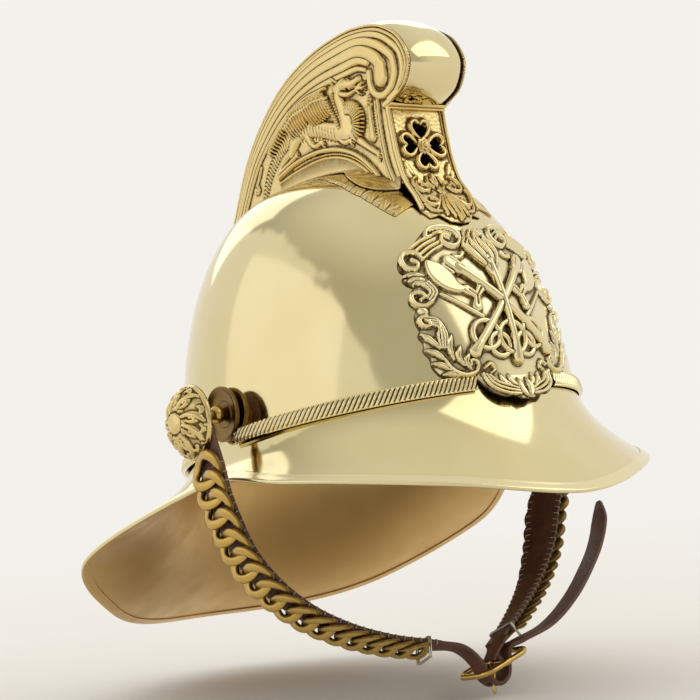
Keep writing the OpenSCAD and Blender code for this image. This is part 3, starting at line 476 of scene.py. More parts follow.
def brass(name, bright, deep, rough, tarnish_and_shade=0.0, hammer=0.0, dark=(0.075, 0.04, 0.013)):
    """Brass with a broad change of tone, fine scratches, and a darkening in its hollows by the cav
    attribute, which is tarnish and painted shade.
    """
    m, t, s = material(name, bright, rough)
    tone = ramp(t, noise(t, 14, 3), [(0.3, deep), (0.7, bright)])
    cav = node(t, "ShaderNodeAttribute", attribute_name="cav").outputs["Fac"]
    # Where cav is high the colour goes towards dark: tarnish and painted shade in the hollows.
    if tarnish_and_shade:
        low = spread(t, cav, 0, tarnish_and_shade, 0.05, 0.42)
        speck = spread(t, noise(t, 420, 3), 0.75, 1.05)
        mul = node(t, "ShaderNodeMath", operation="MULTIPLY", use_clamp=True)
        t.links.new(low, mul.inputs[0])
        t.links.new(speck, mul.inputs[1])
        tone = mix(t, mul.outputs[0], tone, dark)
        r = node(t, "ShaderNodeMath", operation="MULTIPLY_ADD", use_clamp=True)
        t.links.new(mul.outputs[0], r.inputs[0])
        r.inputs[1].default_value, r.inputs[2].default_value = 0.3, rough
        t.links.new(r.outputs[0], s.inputs["Roughness"])
    else:
        t.links.new(spread(t, noise(t, 60, 5), rough * 0.75, rough * 1.3), s.inputs["Roughness"])
    t.links.new(tone, s.inputs["Base Color"])
    fine = noise(t, 900, 2, 0.6, (1, 0.25, 3))
    n = bump(t, s, fine, 0.015, 0.0003)
    if hammer:
        bump(t, s, noise(t, 260, 3), hammer, 0.0006, n)
    return m


def leather(name, dark, light, rough):
    """Leather with a fine grain of closed cells and broad creases."""
    m, t, s = material(name, dark, rough, 0.0, Specular_IOR_Level=0.45)
    tone = ramp(t, noise(t, 90, 5), [(0.3, dark), (0.75, light)])
    t.links.new(tone, s.inputs["Base Color"])
    vor = node(t, "ShaderNodeTexVoronoi", Scale=900.0, feature="DISTANCE_TO_EDGE")
    co = node(t, "ShaderNodeTexCoord")
    t.links.new(co.outputs["Object"], vor.inputs["Vector"])
    n = bump(t, s, spread(t, vor.outputs["Distance"], 0, 1, 0.0, 0.12), 0.35, 0.0003)
    bump(t, s, noise(t, 160, 6), 0.3, 0.0006, n)
    t.links.new(spread(t, noise(t, 45, 4), rough * 0.8, rough * 1.25), s.inputs["Roughness"])
    return m


polished = brass("polished_brass", (0.79, 0.69, 0.4), (0.74, 0.63, 0.34), 0.1)
embossed = brass("embossed_brass", (0.82, 0.66, 0.32), (0.72, 0.54, 0.22), 0.18,
                 1.0, 0.05, (0.07, 0.035, 0.009))
badge_metal = brass("badge_brass", (0.86, 0.76, 0.47), (0.8, 0.68, 0.38), 0.13,
                    1.0, 0.02, (0.055, 0.028, 0.008))
bright_rim = brass("rim_brass", (0.86, 0.77, 0.48), (0.8, 0.7, 0.4), 0.2)
chain_metal = brass("chain_brass", (0.66, 0.45, 0.13), (0.54, 0.35, 0.09), 0.25, 0.8, 0.08)
plain_metal = brass("plain_brass", (0.72, 0.54, 0.22), (0.62, 0.44, 0.16), 0.28)
# Dark brass for the boss dish: painted shade, standing in for the dark reflections in the hollow dish.
dark_metal = brass("dark_brass", (0.34, 0.22, 0.07), (0.15, 0.09, 0.03), 0.3, 0.6)
# Darker brass for the inner faces: painted shade, standing in for the darker reflections inside the helmet.
inner_face = brass("shaded_inside_brass", (0.66, 0.44, 0.17), (0.61, 0.4, 0.15), 0.36)
tie_wire = brass("tie_wire", (0.62, 0.58, 0.48), (0.5, 0.46, 0.36), 0.3)
brown_leather = leather("brown_leather", (0.07, 0.025, 0.012), (0.15, 0.056, 0.03), 0.45)
cut_edge = leather("cut_edge_leather", (0.07, 0.032, 0.018), (0.13, 0.06, 0.035), 0.6)
liner_leather = leather("liner_leather", (0.1, 0.05, 0.025), (0.17, 0.09, 0.045), 0.55)
thread, tt, ts = material("pale_thread", (0.6, 0.5, 0.34), 0.8, 0.0)
tt.links.new(ramp(tt, noise(tt, 500, 4), [(0.3, (0.3, 0.24, 0.16)), (0.7, (0.5, 0.42, 0.3))]),
             ts.inputs["Base Color"])
bump(tt, ts, noise(tt, 1500, 2, 0.6, (1, 1, 0.2)), 0.4, 0.0003)

# The skull and brim in mm
HALF_LEN, HALF_WID, CROWN, LEAN, BASE_Z = 110.4, 92.1, 124.2, 8.0, 23.9
ROPE_SINK, ROPE_TILT, ROPE_HALF, ROPE_T, WALL, GAP = 4.9, 16.0, 3.7, 3.0, 0.8, 0.1
ROUND_OUT, ROUND_UP, SLOPE = 0.655, 1.15, 0.02


def inward(s):
    """Half width at a height s of 0 to 1, as a share of the full one."""
    return np.maximum(0, 1 - np.maximum(0, np.asarray(s, float))**(2 / ROUND_UP))**(ROUND_OUT / 2)


def skull_at(s, t, d=0.0):
    """Point on the skull at height s and turn t from the front, sunk by d."""
    s, t = np.asarray(s, float), np.radians(t)
    g = inward(s)
    y = -(HALF_LEN - d) * g * np.cos(t) + LEAN * s
    z = BASE_Z + (CROWN - d) * s - (1 - s) * SLOPE * y
    return np.stack(np.broadcast_arrays((HALF_WID - d) * g * np.sin(t), y, z), -1)


def rope_s(t):
    return (ROPE_TILT * np.cos(np.radians(t)) - ROPE_SINK) / CROWN


def roof(x, y):
    """Height of the skull's outside over a place, by halving."""
    x, y = np.broadcast_arrays(np.asarray(x, float), np.asarray(y, float))
    lo, hi = np.zeros(x.shape), np.ones(x.shape)
    for _ in range(26):
        m = (lo + hi) / 2
        g = inward(m) + 1e-6
        out = (x / HALF_WID / g)**2 + ((y - LEAN * m) / HALF_LEN / g)**2 > 1
        hi, lo = np.where(out, m, hi), np.where(out, lo, m)
    return BASE_Z + CROWN * m - (1 - m) * SLOPE * y


# The brim's edge at turns from the front, on the left side
EDGE = Spline([(-58.3, -128.1, -7.7), (0, -150.2, -15.4), (58.3, -128.1, -7.7), (106.3, -71.5, -1.5),
               (105, 10, -3), (129.3, 81.2, -36.2), (91.4, 127.2, -64.8), (0, 179.5, -78.7),
               (-91.4, 127.2, -64.8)], [-30, 0, 30, 61, 93, 118, 139, 180, 221])


def brim_edge(t):
    m = np.mod(t, 360)
    p = EDGE(np.where(m > 180, 360 - m, m))
    return p * np.stack([np.where(m > 180, -1, 1), np.ones(len(m)), np.ones(len(m))], 1)


def brim_legs(t):
    """Root, way out, and the four points of the upright section in reach and height."""
    t = np.atleast_1d(np.asarray(t, float))
    r = skull_at(rope_s(t), t) - [0, 0, GAP]
    q = brim_edge(t) - r
    h = np.hypot(q[:, 0], q[:, 1])
    drop = -q[:, 2]
    g = np.clip(-np.cos(np.radians(t)) / 0.42, 0, 1)
    way = np.stack([q[:, 0] / h, q[:, 1] / h, 0 * h], 1)
    legs = [np.stack([0 * h, 0 * h], 1), np.stack([(0.12 - 0.1 * g) * h, (0.07 * g - 0.42) * drop], 1),
            np.stack([(0.6 - 0.15 * g) * h, -(0.72 + 0.08 * g) * drop], 1), np.stack([h, -drop], 1)]
    return r, way, legs


def brim_at(t, u, d, e=0.0):
    """Point on the brim: turn t, share u along its section, sunk by d, slid past the edge by e."""
    r, way, b = brim_legs(t)
    u = np.broadcast_to(np.asarray(u, float), r.shape[:1])[:, None]
    p = b[0] * (1 - u)**3 + 3 * b[1] * u * (1 - u)**2 + 3 * b[2] * u**2 * (1 - u) + b[3] * u**3
    v = unit((b[1] - b[0]) * (1 - u)**2 + 2 * (b[2] - b[1]) * u * (1 - u) + (b[3] - b[2]) * u**2
             + [0, -1e-6])
    x = p + np.stack([d * v[:, 1], -d * v[:, 0]], 1) + e * v
    return r + x[:, :1] * way + np.stack([0 * x[:, 0], 0 * x[:, 0], x[:, 1]], 1)


def edge_start(t):
    """Share of the brim's section at which the last 5 mm begin."""
    b = brim_legs(t)[2]
    return 1 - 5 / (3 * np.linalg.norm(b[3] - b[2], axis=1))


def skull():
    """Skull of one sheet: n points round it in m rows, outside and inside, open below."""
    n, m = 256, 60
    t = np.arange(n) * 360 / n
    shells = []
    for d in (0, WALL):
        rows = []
        for j in range(m):
            r = rope_s(t)
            rows.append(skull_at(r + (1 - r) * math.sin(math.radians(90 * j / m))**ROUND_UP, t, d))
        shells.append(np.array(rows))
    o, i = shells
    tops = skull_at(1, 0)[None], skull_at(1, 0, WALL)[None]
    verts = np.vstack([o.reshape(-1, 3), i.reshape(-1, 3), *tops])
    a = quads(m, n, False, True)
    k = m * n
    faces = a.tolist() + (a[:, ::-1] + k).tolist()
    faces += [[j, k + j, k + (j + 1) % n, (j + 1) % n] for j in range(n)]
    faces += [[(m - 1) * n + j, (m - 1) * n + (j + 1) % n, 2 * k] for j in range(n)]
    faces += [[k + (m - 1) * n + (j + 1) % n, k + (m - 1) * n + j, 2 * k + 1] for j in range(n)]
    mats = [0] * len(a) + [1] * len(a) + [0] * (2 * n) + [1] * n
    Shape().add(verts, faces, mats).build("skull", [polished, inner_face], "helmet", "polished_brass",
                                          "skull_shell", angle=60)


def brim(name, node_name, t0, t1, n):
    """Sheet of the brim between two turns."""
    t = np.linspace(t0, t1, n)
    us = np.linspace(0, 1, 30)
    cols = [brim_at(t, u, 0) for u in us] + [brim_at(t, u, WALL) for u in us[::-1]]
    s = Shape()
    loft(s, np.stack(cols, 1), side_mat=[0] * (len(us) - 1) + [1] * len(us) + [0])
    s.build(name, [polished, inner_face], "helmet", "polished_brass", node_name, angle=60)


def binding():
    """Strip folded round the brim's edge, rolled at the rim."""
    t = np.linspace(0, 360, 361)[:-1]
    u0 = edge_start(t)
    cols = [brim_at(t, u0, -0.1), brim_at(t, u0, -0.62), brim_at(t, u0 + 0.06 * (1 - u0), -0.72),
            brim_at(t, u0 + 0.16 * (1 - u0), -0.6)]
    cols += [brim_at(t, u0 + k * (1 - u0), -0.6) for k in (0.5, 0.75)]
    for a in np.radians(np.linspace(0, 180, 9)):
        cols.append(brim_at(t, 1, 0.4 - 1.0 * math.cos(a), 0.6 * math.sin(a)))
    rolled = len(cols) - 3
    cols += [brim_at(t, u0 + k * (1 - u0), 1.4) for k in (0.6, 0.2, 0)]
    cols += [brim_at(t, u0, WALL + GAP), brim_at(t, 1, WALL + GAP, GAP), brim_at(t, 1, -GAP, GAP)]
    s = Shape()
    loft(s, np.stack(cols, 1), wrap=True, side_mat=[0] * rolled + [1] * (len(cols) - rolled))
    s.build("edge_strip", [bright_rim, inner_face], "helmet", "polished_brass", "edge_binding", angle=45)


def rope(name, node_name, spans):
    """Twisted rope: slanting S-shaped strands between thin edge lines."""
    s = Shape()
    step = 0.36  # between two sections of the rope
    for t0, t1 in spans:
        fine = np.linspace(t0, t1, 4000)
        run = skull_at(rope_s(fine), fine)
        length = np.r_[0, np.cumsum(np.linalg.norm(np.diff(run, axis=0), axis=1))]
        n = int(length[-1] / step)
        t = np.interp(np.linspace(0, length[-1], n), length, fine)
        arc = np.linspace(0, length[-1], n)[:, None]
        p = skull_at(rope_s(t), t)
        turn = np.radians(t)
        o = unit(np.stack([np.sin(turn) * HALF_LEN, -np.cos(turn) * HALF_WID, 0 * t], 1))
        a = np.radians(np.linspace(-90, 90, 25))[None, :]
        across = np.sin(a) * ROPE_HALF
        side = 1 if t0 < t1 else -1
        pitch = np.interp(np.abs(np.mod(t + 180, 360) - 180), [15, 80, 180], [2.0, 2.9, 3.0])
        turns = np.r_[0, np.cumsum((arc[1:, 0] - arc[:-1, 0]) / pitch[1:])][:, None]
        lean = np.arcsin(np.clip(across / ROPE_HALF, -0.97, 0.97)) * 1.9
        phase = turns - side * lean / 2.6
        strand = np.abs(np.sin(np.pi * phase))**0.7
        core = np.clip((0.9 - np.abs(across) / ROPE_HALF) / 0.12, 0, 1)
        edge = np.exp(-((np.abs(across) / ROPE_HALF - 0.95) / 0.06)**2)
        cut = (1 - strand) * 1.45
        base = 0.44 * np.maximum(0, -across)
        out = 0.45 + base + (ROPE_T - 0.1) * np.cos(a)**0.8 - core * cut + 0.3 * edge
        ring = p[:, None] + o[:, None] * out[..., None]
        ring[..., 2] += np.broadcast_to(across, ring.shape[:2])
        under = p[:, None] + o[:, None] * (0.3 + base)[..., None]
        under = under * np.ones((n, 1, 1))
        under[..., 2] += across
        ring = np.concatenate([ring, under[:, ::-1]], 1)
        # cav darkens the grooves between the strands: tarnish and painted shade.
        cav = np.concatenate([np.clip(core * cut * 0.75 - 0.3, -0.3, 1), 0 * core + 0 * cut], 1)
        loft(s, ring, cav=cav.ravel())
    s.build(name, [badge_metal], "helmet", "embossed_brass", node_name, angle=50)


skull()
brim("front_peak_sheet", "front_peak", -90, 90, 161)
brim("neck_guard_sheet", "neck_guard", 90, 270, 161)
binding()
rope("rope_front", "rope_band_front", [(-84, -14.2), (84, 14.2)])
rope("rope_rear", "rope_band_rear", [(97, 263)])

# Comb
SIDE_X, PLATE = 17.2, 0.8
OUTLINE = Spline([(110.6, 50), (113.5, 78), (105.5, 111), (91.7, 137.4), (70.5, 172.5), (37.3, 201.1),
                  (-7.9, 216.3), (-30.4, 217.9), (-52, 214), (-65.8, 204.6), (-70.9, 194), (-66.5, 183),
                  (-52.5, 175)])
FRONT = Spline([(-50.6, 174.2), (-52.4, 162), (-55.4, 148), (-60.3, 136.4), (-69, 127.4),
                (-75, 120.6), (-80.2, 113.6)])
ARCH_TOP = [(44.2, 154.8), (30.7, 159.2), (16.7, 161.6), (1.4, 162), (-13.2, 159.6), (-25.2, 154.9),
            (-35.6, 147.4), (-43.8, 139)]
ARCH_LOW = [(44, 151.6), (32, 154.6), (20.7, 156.4), (12.2, 157.5), (1.9, 157.8), (-7.9, 156.7),
            (-17.4, 154), (-26.4, 149.5), (-35.1, 143.4), (-41.8, 138)]


def beside(curve, k, d):
    """Points at shares k along a curve, moved off it by d to the left."""
    t = curve.end * np.atleast_1d(np.asarray(k, float))
    v = unit(curve(np.minimum(curve.end, t + 1)) - curve(np.maximum(0, t - 1)))
    return curve(t) + np.asarray(d, float).reshape(-1, 1) * np.stack([-v[:, 1], v[:, 0]], 1)


def foot_line():
    """The side plate's lower edge, just above the skull."""
    y = 7 + 100.5 * np.sin(np.radians(np.linspace(-38, 79, 90)))
    return np.stack([y, roof(SIDE_X - PLATE, y) + 1.35], 1)


FLUTE_SPAN = (0.03, 0.715)


def flute_width(k):
    """Width of the fluted ground at a share of the outline."""
    return np.interp(k, [0.03, 0.2, 0.3, 0.41, 0.54, 0.69, 0.76], [6.5, 8.6, 10, 12, 16.3, 21.8, 23])


# Flutes of the comb: lane across the ground, half width, the curl's points, its widths and its height
VOLUTES = [
    (0.205, 0.074, [(-55.6, 206), (-64.5, 197.1), (-65.2, 189.7), (-61.8, 183.1), (-54.6, 177.3),
                    (-49.2, 175.6)], (1.7, 1.5), 1.1),
    (0.355, 0.1, [(-39.1, 208.7), (-51.5, 202.8), (-58.7, 196), (-59.4, 190.4), (-56.6, 184.2),
                  (-49.6, 180.4), (-42.6, 182.6), (-39.6, 188.3), (-39.4, 193.4)], (2.6, 1.7), 1.5),
    (0.565, 0.124, [(-34.8, 204.8), (-42.9, 201.1), (-47.8, 196.4), (-49.2, 192.0), (-48.9, 188.6)],
     (3.1, 3.6), 1.9),
    (0.775, 0.1, [(-31.5, 201), (-38.2, 198.6)], (2.4, 1.8), 1.6),
    (0.94, 0.07, [(-30.9, 197), (-36.2, 195.4)], (1.6, 1.1), 1.2)]


def on_line(line, share):
    """Point at a share of a line, with the way along it and the way across."""
    p = line(share * line.end)[0]
    v = unit(line(share * line.end + 0.5)[0] - p)
    return p, v, np.array([-v[1], v[0]])


def dragon(r):
    """A heraldic dragon of the builder's own drawing: striding, wings up, tail to the rear."""
    body = [(31, 174), (19, 175.2), (4, 173), (-9, 169.6), (-18, 168.4)]
    tail = [(30, 174.5), (39, 171), (47, 165.2), (53.5, 158), (58.2, 150), (61, 142)]
    neck = [(-17, 169.5), (-16.6, 175.5), (-14.4, 181.5), (-12.4, 187), (-14.4, 191)]
    r.stroke(tail, [4.4, 3.8, 3.4, 2.9, 2.2], [1.5, 1.4, 1.2])
    r.stroke(body, [3.6, 4.2, 4, 4.6, 5.4], [1.8, 2.0, 2.2])
    r.stroke(neck, [5.6, 4.9, 3.6, 3.0, 3.0], [2.2, 2.1, 2.2])
    tail, body = Spline(tail), Spline(body)
    for q in np.linspace(0.04, 0.97, 22):
        p, v, n = on_line(tail, q)
        w = np.interp(q, [0, 1], [4.1, 2.2])
        r.groove([p + n * w, p - v * 1.5, p - n * w], 0.55, 1.2)
    for q in np.linspace(0.05, 0.8, 15):
        p, v, n = on_line(body, q)
        r.groove([p - n * 1.2, p + n * 5.2 + v * 0.8], 0.55, 1.3)
    r.stroke([(-11.6, 190.6), (-17.5, 192), (-24, 190.8), (-31, 192.2)],
             [2.9, 3.2, 2.2, 1.5], [2.2, 2.4, 2, 1.7])
    r.stroke([(-15, 187.6), (-20.5, 186.2), (-27.5, 187)], [1.7, 1.3, 0.8], 1.7)
    r.stroke([(-12.4, 194), (-8.4, 196.2), (-9.6, 192.6)], [0.7, 1.1, 0.5], 2.2)
    r.groove([(-19.5, 189), (-24.5, 188.4), (-29.5, 189.8)], 0.75, 1.4)
    r.bead((-19.4, 192.8), 1.15, 2.9).groove([(-21.2, 193.4), (-19.4, 194.3), (-17.6, 193.2)], 0.35, 0.7)
    r.bead((-30.4, 192.7), 0.7, 2.3)
    for k in range(5):
        r.stroke([(-22.5 - k * 1.5, 189.6), (-22.8 - k * 1.5, 188.5)], 0.32, 2.0)
    for a, n, b in ((-14, 8, 3), (2, 9, -2), (16, 8, 2), (30, 6, -2), (-32, 7, -3)):
        q = math.radians(a)
        p = np.array((-28.2, 187.6))
        e = p + n * np.array((-math.cos(q), math.sin(q)))
        c = (p + e) / 2 + b * 0.35 * np.array((math.sin(q), math.cos(q)))
        r.stroke([p, c, e], [0.8, 0.65, 0.2], 1.6)
    hub = np.array((-20, 171.5))
    for a in np.linspace(-56, 98, 17):
        q = math.radians(a)
        w = np.array((-math.cos(q), math.sin(q)))
        r.stroke([hub + w * 5.4, hub + w * 9, hub + w * (12.6 - 0.02 * abs(a))], [0.7, 0.95, 0.6], 2.8, 1.6)
    mane = [(-7.6, 189.6), (-10.4, 181.5), (-15.2, 173.5), (-17.4, 170)]
    bone = [(-13, 171), (-7.8, 178.6), (-2.2, 187), (0.6, 190.4)]
    for pts, shares, rad, high in ((mane, np.linspace(0.05, 0.9, 12), 0.75, 2.6),
                                   (bone, np.linspace(0, 1, 13), 1.1, 3.1)):
        line = Spline(pts)
        for p in line(shares * line.end):
            r.bead(p, rad, high)
    fans = [((-2.5, 188), (18.5, 185.6), (-6.4, 180), (9, 174.6)),
            ((18.5, 186), (35, 179.5), (13, 177), (27.4, 171.8)),
            ((-2, 193), (31, 186.4), (1, 189.6), (29, 182.6)),
            ((32, 184), (51.5, 169), (29, 181), (47.6, 166.4))]
    for a, b, c, d in fans:
        a, b, c, d = (np.array(x) for x in (a, b, c, d))
        r.stroke([a, (a + b) / 2 + (0.6, 1.1), b], [1.0, 1.1, 0.9], 2.6)
        n = int(np.linalg.norm(b - a) / 2.15)
        for i in range(n):
            k = (i + 0.6) / n
            p, q = a + (b - a) * k, c + (d - c) * k
            r.stroke([p, (p + q) / 2 + (1.0, 0.4), q], [0.72, 0.75, 0.55], 2.8, 1.6)
    r.stroke([(26.5, 173), (29.6, 169.4), (32, 165)], [4.4, 3.8, 2.4], 2.0)
    r.stroke([(31.6, 166.6), (37.8, 163.6), (43.5, 157.6)], [2.4, 1.9, 1.2], 1.7)
    r.stroke([(43.6, 157.4), (35, 160.4), (28, 163.4)], [1.5, 1.2, 1], 1.6)
    r.stroke([(17, 172.2), (13.8, 167.8), (10.6, 165.6), (4.6, 166.8)], [2.4, 1.7, 1.3, 1.2], 1.6)
    r.stroke([(-19.8, 168), (-28, 161.8), (-36, 156.6), (-41.4, 153.4)], [3.2, 2.2, 1.6, 1.4], 1.8)
    r.stroke([(-11, 166.6), (-14.6, 163.4), (-19.6, 163.4)], [2.2, 1.5, 1.2], 1.5)
    for x, z, a in ((28, 163.4, 150), (4.6, 166.8, 190), (-41.4, 153.4, 215), (-19.6, 163.4, 190)):
        for b in (-34, 0, 34):
            q = math.radians(a + b)
            tip = (x + 3.4 * math.cos(q), z + 3.4 * math.sin(q) - 0.9)
            r.stroke([(x, z), tip], [0.85, 0.3], 1.5)
    r.spiral((66.5, 151.5), 2.6, 0.6, 100, 1.1, 0.75, 1.5)
    r.stroke([(60.6, 163), (63.4, 158), (65.8, 154.4)], [0.5, 0.7, 0.6], 1.3)


def comb_side(name, node_name, side):
    """Side plate: border lines, flutes that end in volutes, arch lines and the dragon."""
    front = beside(FRONT, np.linspace(0.02, 0.56, 30), 1.5)
    outline = np.vstack([OUTLINE.share(240), front, foot_line()])
    r = Relief(-74, 116, 44, 220, 0.36)
    ground = np.random.default_rng(5).normal(0, 0.05, r.h.shape)
    r.h += blurred(ground, 1)
    k = np.linspace(0.02, 0.995, 170)
    for d, w, h in ((0.6, 0.7, 1.0), (2.5, 0.95, 1.25)):
        r.stroke(beside(OUTLINE, k, d), w, h)
    kk = np.linspace(*FLUTE_SPAN, 40)
    q = np.linspace(0, 1, 60)
    for share, half, ends, widths, height in VOLUTES:
        path = np.vstack([beside(OUTLINE, kk, flute_width(kk) * share), ends])
        own = Spline(path)
        cut = own.k[len(kk) - 1] / own.end
        rad = np.where(q < cut, half * flute_width(np.interp(q, [0, cut], FLUTE_SPAN)),
                       np.interp(q, [cut, 1], widths))
        r.stroke(path, rad, height * np.interp(q, [0, 0.4, 1], [0.75, 0.9, 1]), 4.5)
    r.stroke([(-48.7, 194.6), (-48.6, 189.2)], [4.4, 4.9], 2.1, 4)
    border = [(-44.6, 178.7), (-45.4, 167.2), (-47.1, 155.6), (-49.8, 145.1), (-54, 136.4)]
    r.stroke(border, 1.0, 1.5)
    r.stroke([(y + 2.6, z) for y, z in border], 0.6, 1.0)
    r.stroke([(-38.2, 176.6), (-38.4, 169), (-38.6, 161.4)], [1.2, 1.6, 2.3], 1.8)
    for dy, dz in ((0, 1.2), (1.5, 0), (-1.5, 0), (0.8, 2.8), (-0.8, 2.8), (0, 4.3)):
        r.bead((-38.2 + dy, 177.6 + dz), 0.85, 1.9)
    for z in np.linspace(161.5, 176, 11):
        r.bead((-41.9, z), 0.55, 1.2)
    r.stroke(ARCH_TOP, 1.25, 2.1)
    r.stroke([(y + 0.4, z - 2.3) for y, z in ARCH_TOP[1:]], 0.5, 1.0)
    r.stroke(ARCH_LOW, 0.8, 1.4)
    dragon(r)
    s = Shape()
    place = lambda u, v, h: np.stack([side * (SIDE_X + h), u, v], 1)
    r.sheet(s, place, outline, flat_back=True, back=-PLATE)
    s.build(name, [embossed], "helmet", "embossed_brass", node_name, angle=75)


LIP = [(43.5, 18.2), (0, 18.6), (-9, 18.9), (-13, 19.4), (-18, 21.4), (-23, 24.6), (-28, 27.6), (-34, 30),
       (-40, 31.2), (-45, 30.8), (-50, 28.5), (-54.5, 23.7), (-57, 19)]


def comb_lip(name, side):
    """Smooth hollow moulding that sweeps from the arch out to a wavy lip on the skull."""
    n = 110
    low = np.vstack([Spline(ARCH_LOW).share(80), np.linspace((-42.6, 137.6), (-57.6, 139.2), 30)])
    line = Spline(LIP).share(n)
    lip = np.stack([line[:, 1], line[:, 0], roof(line[:, 1], line[:, 0]) + 2.3], 1)
    top = np.stack([np.full(n, SIDE_X + 0.5), low[:, 0], low[:, 1] + 0.5], 1)
    rows = []
    for u in np.linspace(0, 1, 17):
        flat = top + (lip - top) * np.array([u**1.25, u, 0])
        z = roof(flat[:, 0], flat[:, 1]) + 2.3
        flat[:, 2] = z + np.maximum(top[:, 2] - z, 0) * (1 - u)**3.2
        rows.append(flat)
    for a in np.radians([30, 90, 150]):
        rows.append(lip + [0.55 * math.sin(a), 0, -0.5 * (1 - math.cos(a))])
    rows += [r - [0.75, 0, 0.75] for r in rows[16::-1]]
    ring = np.stack(rows, 1)
    ring[..., 0] *= side
    # cav darkens the inside of the cove, most next to the arch, and the lip's rim and underside: painted
    # shade in the cove and a painted shadow line along the lip.
    hollow = np.r_[np.linspace(0.34, 0.04, 10), np.zeros(5), np.full(2, -0.1)]
    cav = np.zeros(ring.shape[:2]) + np.r_[hollow, [-0.2, 0.3, 0.8], [0.8] * 17]
    s = Shape()
    loft(s, ring, cav=cav.ravel())
    flower = np.array([side * 21, -32.6, 143.1])
    n = unit([side * 0.75, -0.2, 0.62])
    a = unit(np.cross(n, [0, 0, 1]))
    b = np.cross(n, a)
    for i in range(6):
        q = math.radians(i * 60)
        w = a * math.cos(q) + b * math.sin(q)
        capsule(s, flower + w * 0.8, flower + w * 2.7 + n * 0.2, 0.95, 9, cav=0.1)
    capsule(s, flower - n, flower + n * 1.1, 1.2, 12, cav=-0.3)
    s.build(name, [embossed], "helmet", "embossed_brass", angle=60)


def foot(name, node_name, side):
    """Flange on the skull with a low leaf border that shows below the moulding."""
    y0, y1 = -66.5, 64.5  # front and rear end
    r = Relief(y0, y1, 0, 1, 0.42)
    r.u, r.v = np.linspace(y0, y1, 330), np.linspace(0, 1, 44)
    r.U, r.V = np.meshgrid(r.u, r.v, indexing="ij")
    reach = np.interp(r.u, [y0, -62, -54, -41, -22.7, 0, 12, y1],
                      [13.9, 16.3, 18.5, 20.4, 18.3, 10.5, 8.6, 8.2])[:, None]
    x = (r.U - y0) / 7.2 + 0.35 * r.V
    saw = np.abs((x % 1) - 0.5) * 2
    lobe = np.sqrt(np.clip(1 - saw**2, 0, 1))
    out = np.clip((r.V - 0.35) / 0.3, 0, 1)
    vein = np.cos(2 * np.pi * (saw * 1.6 - r.V * 2.6))
    r.h = 0.6 + out * (0.16 * lobe + 0.07 * vein - 0.2 * np.exp(-((saw - 1) / 0.12)**2)
                       - 0.1 * np.exp(-(saw / 0.1)**2))
    edge = 0.98 + 0.02 * lobe
    a = np.where(r.u < -50, SIDE_X + 1.2, SIDE_X - PLATE - 0.6)[:, None]
    xx = a + (SIDE_X - 1.4 + reach * edge - a) * r.V
    zz = roof(xx, r.U)
    zx, zy = roof(xx + 0.5, r.U) - zz, roof(xx, r.U + 0.5) - zz
    n = unit(np.stack([-zx, -zy, np.full(zz.shape, 0.5)], -1))
    top = np.stack([xx, r.U, zz], -1) + n * (0.25 + r.h * np.clip((1.02 - r.V) * 9, 0.25, 1))[..., None]
    low = np.stack([xx, r.U, zz], -1) + n * 0.25
    ring = np.concatenate([top, low[:, ::-1]], 1)
    ring[..., 0] *= side
    cav = np.concatenate([r.cavity(), np.zeros(top.shape[:2])], 1)
    s = Shape()
    loft(s, ring, cav=cav.ravel())
    s.build(name, [embossed], "helmet", "embossed_brass", node_name, angle=60)


def bulge(k):
    """Rise of the rolled top over the comb's outline."""
    k = np.asarray(k, float)
    rise = np.where(k < 0.35, 0, np.sin(np.radians(np.clip((k - 0.35) / 0.35 * 90, 0, 90)))**2)
    fade = np.where(k > 0.86, 0.35 + 0.65 * np.cos(np.radians((k - 0.86) / 0.14 * 90)), 1)
    return 2.2 + 1.8 * rise * fade


def roll():
    """Rolled top between the two side plates."""
    k = np.linspace(0.035, 0.99, 190)
    x = np.linspace(-1, 1, 37)
    rise = (1 - np.abs(x)**2.3)**0.8
    half = SIDE_X - PLATE - GAP
    cols = []
    for layer in (0, WALL):
        sheet = []
        for xi, ri in zip(x, rise):
            p = beside(OUTLINE, k, 1.2 + layer - bulge(k) * ri)
            sheet.append(np.stack([np.full(len(k), half * xi), p[:, 0], p[:, 1]], 1))
        cols += sheet if layer == 0 else sheet[::-1]
    s = Shape()
    loft(s, np.stack(cols, 1))
    s.build("comb_roll", [polished], "helmet", "polished_brass", "comb_top_roll", angle=60)


def heart(r):
    """Outline of one heart of the quatrefoil, its point at the middle."""
    lobe = arc_points((0.46, 0.62), 0.5, -28, 158, 12)
    return np.array([(0.0, -0.9)] + lobe + [(-x, y) for x, y in lobe][::-1]) * r


QUATREFOIL_Z = 155.1


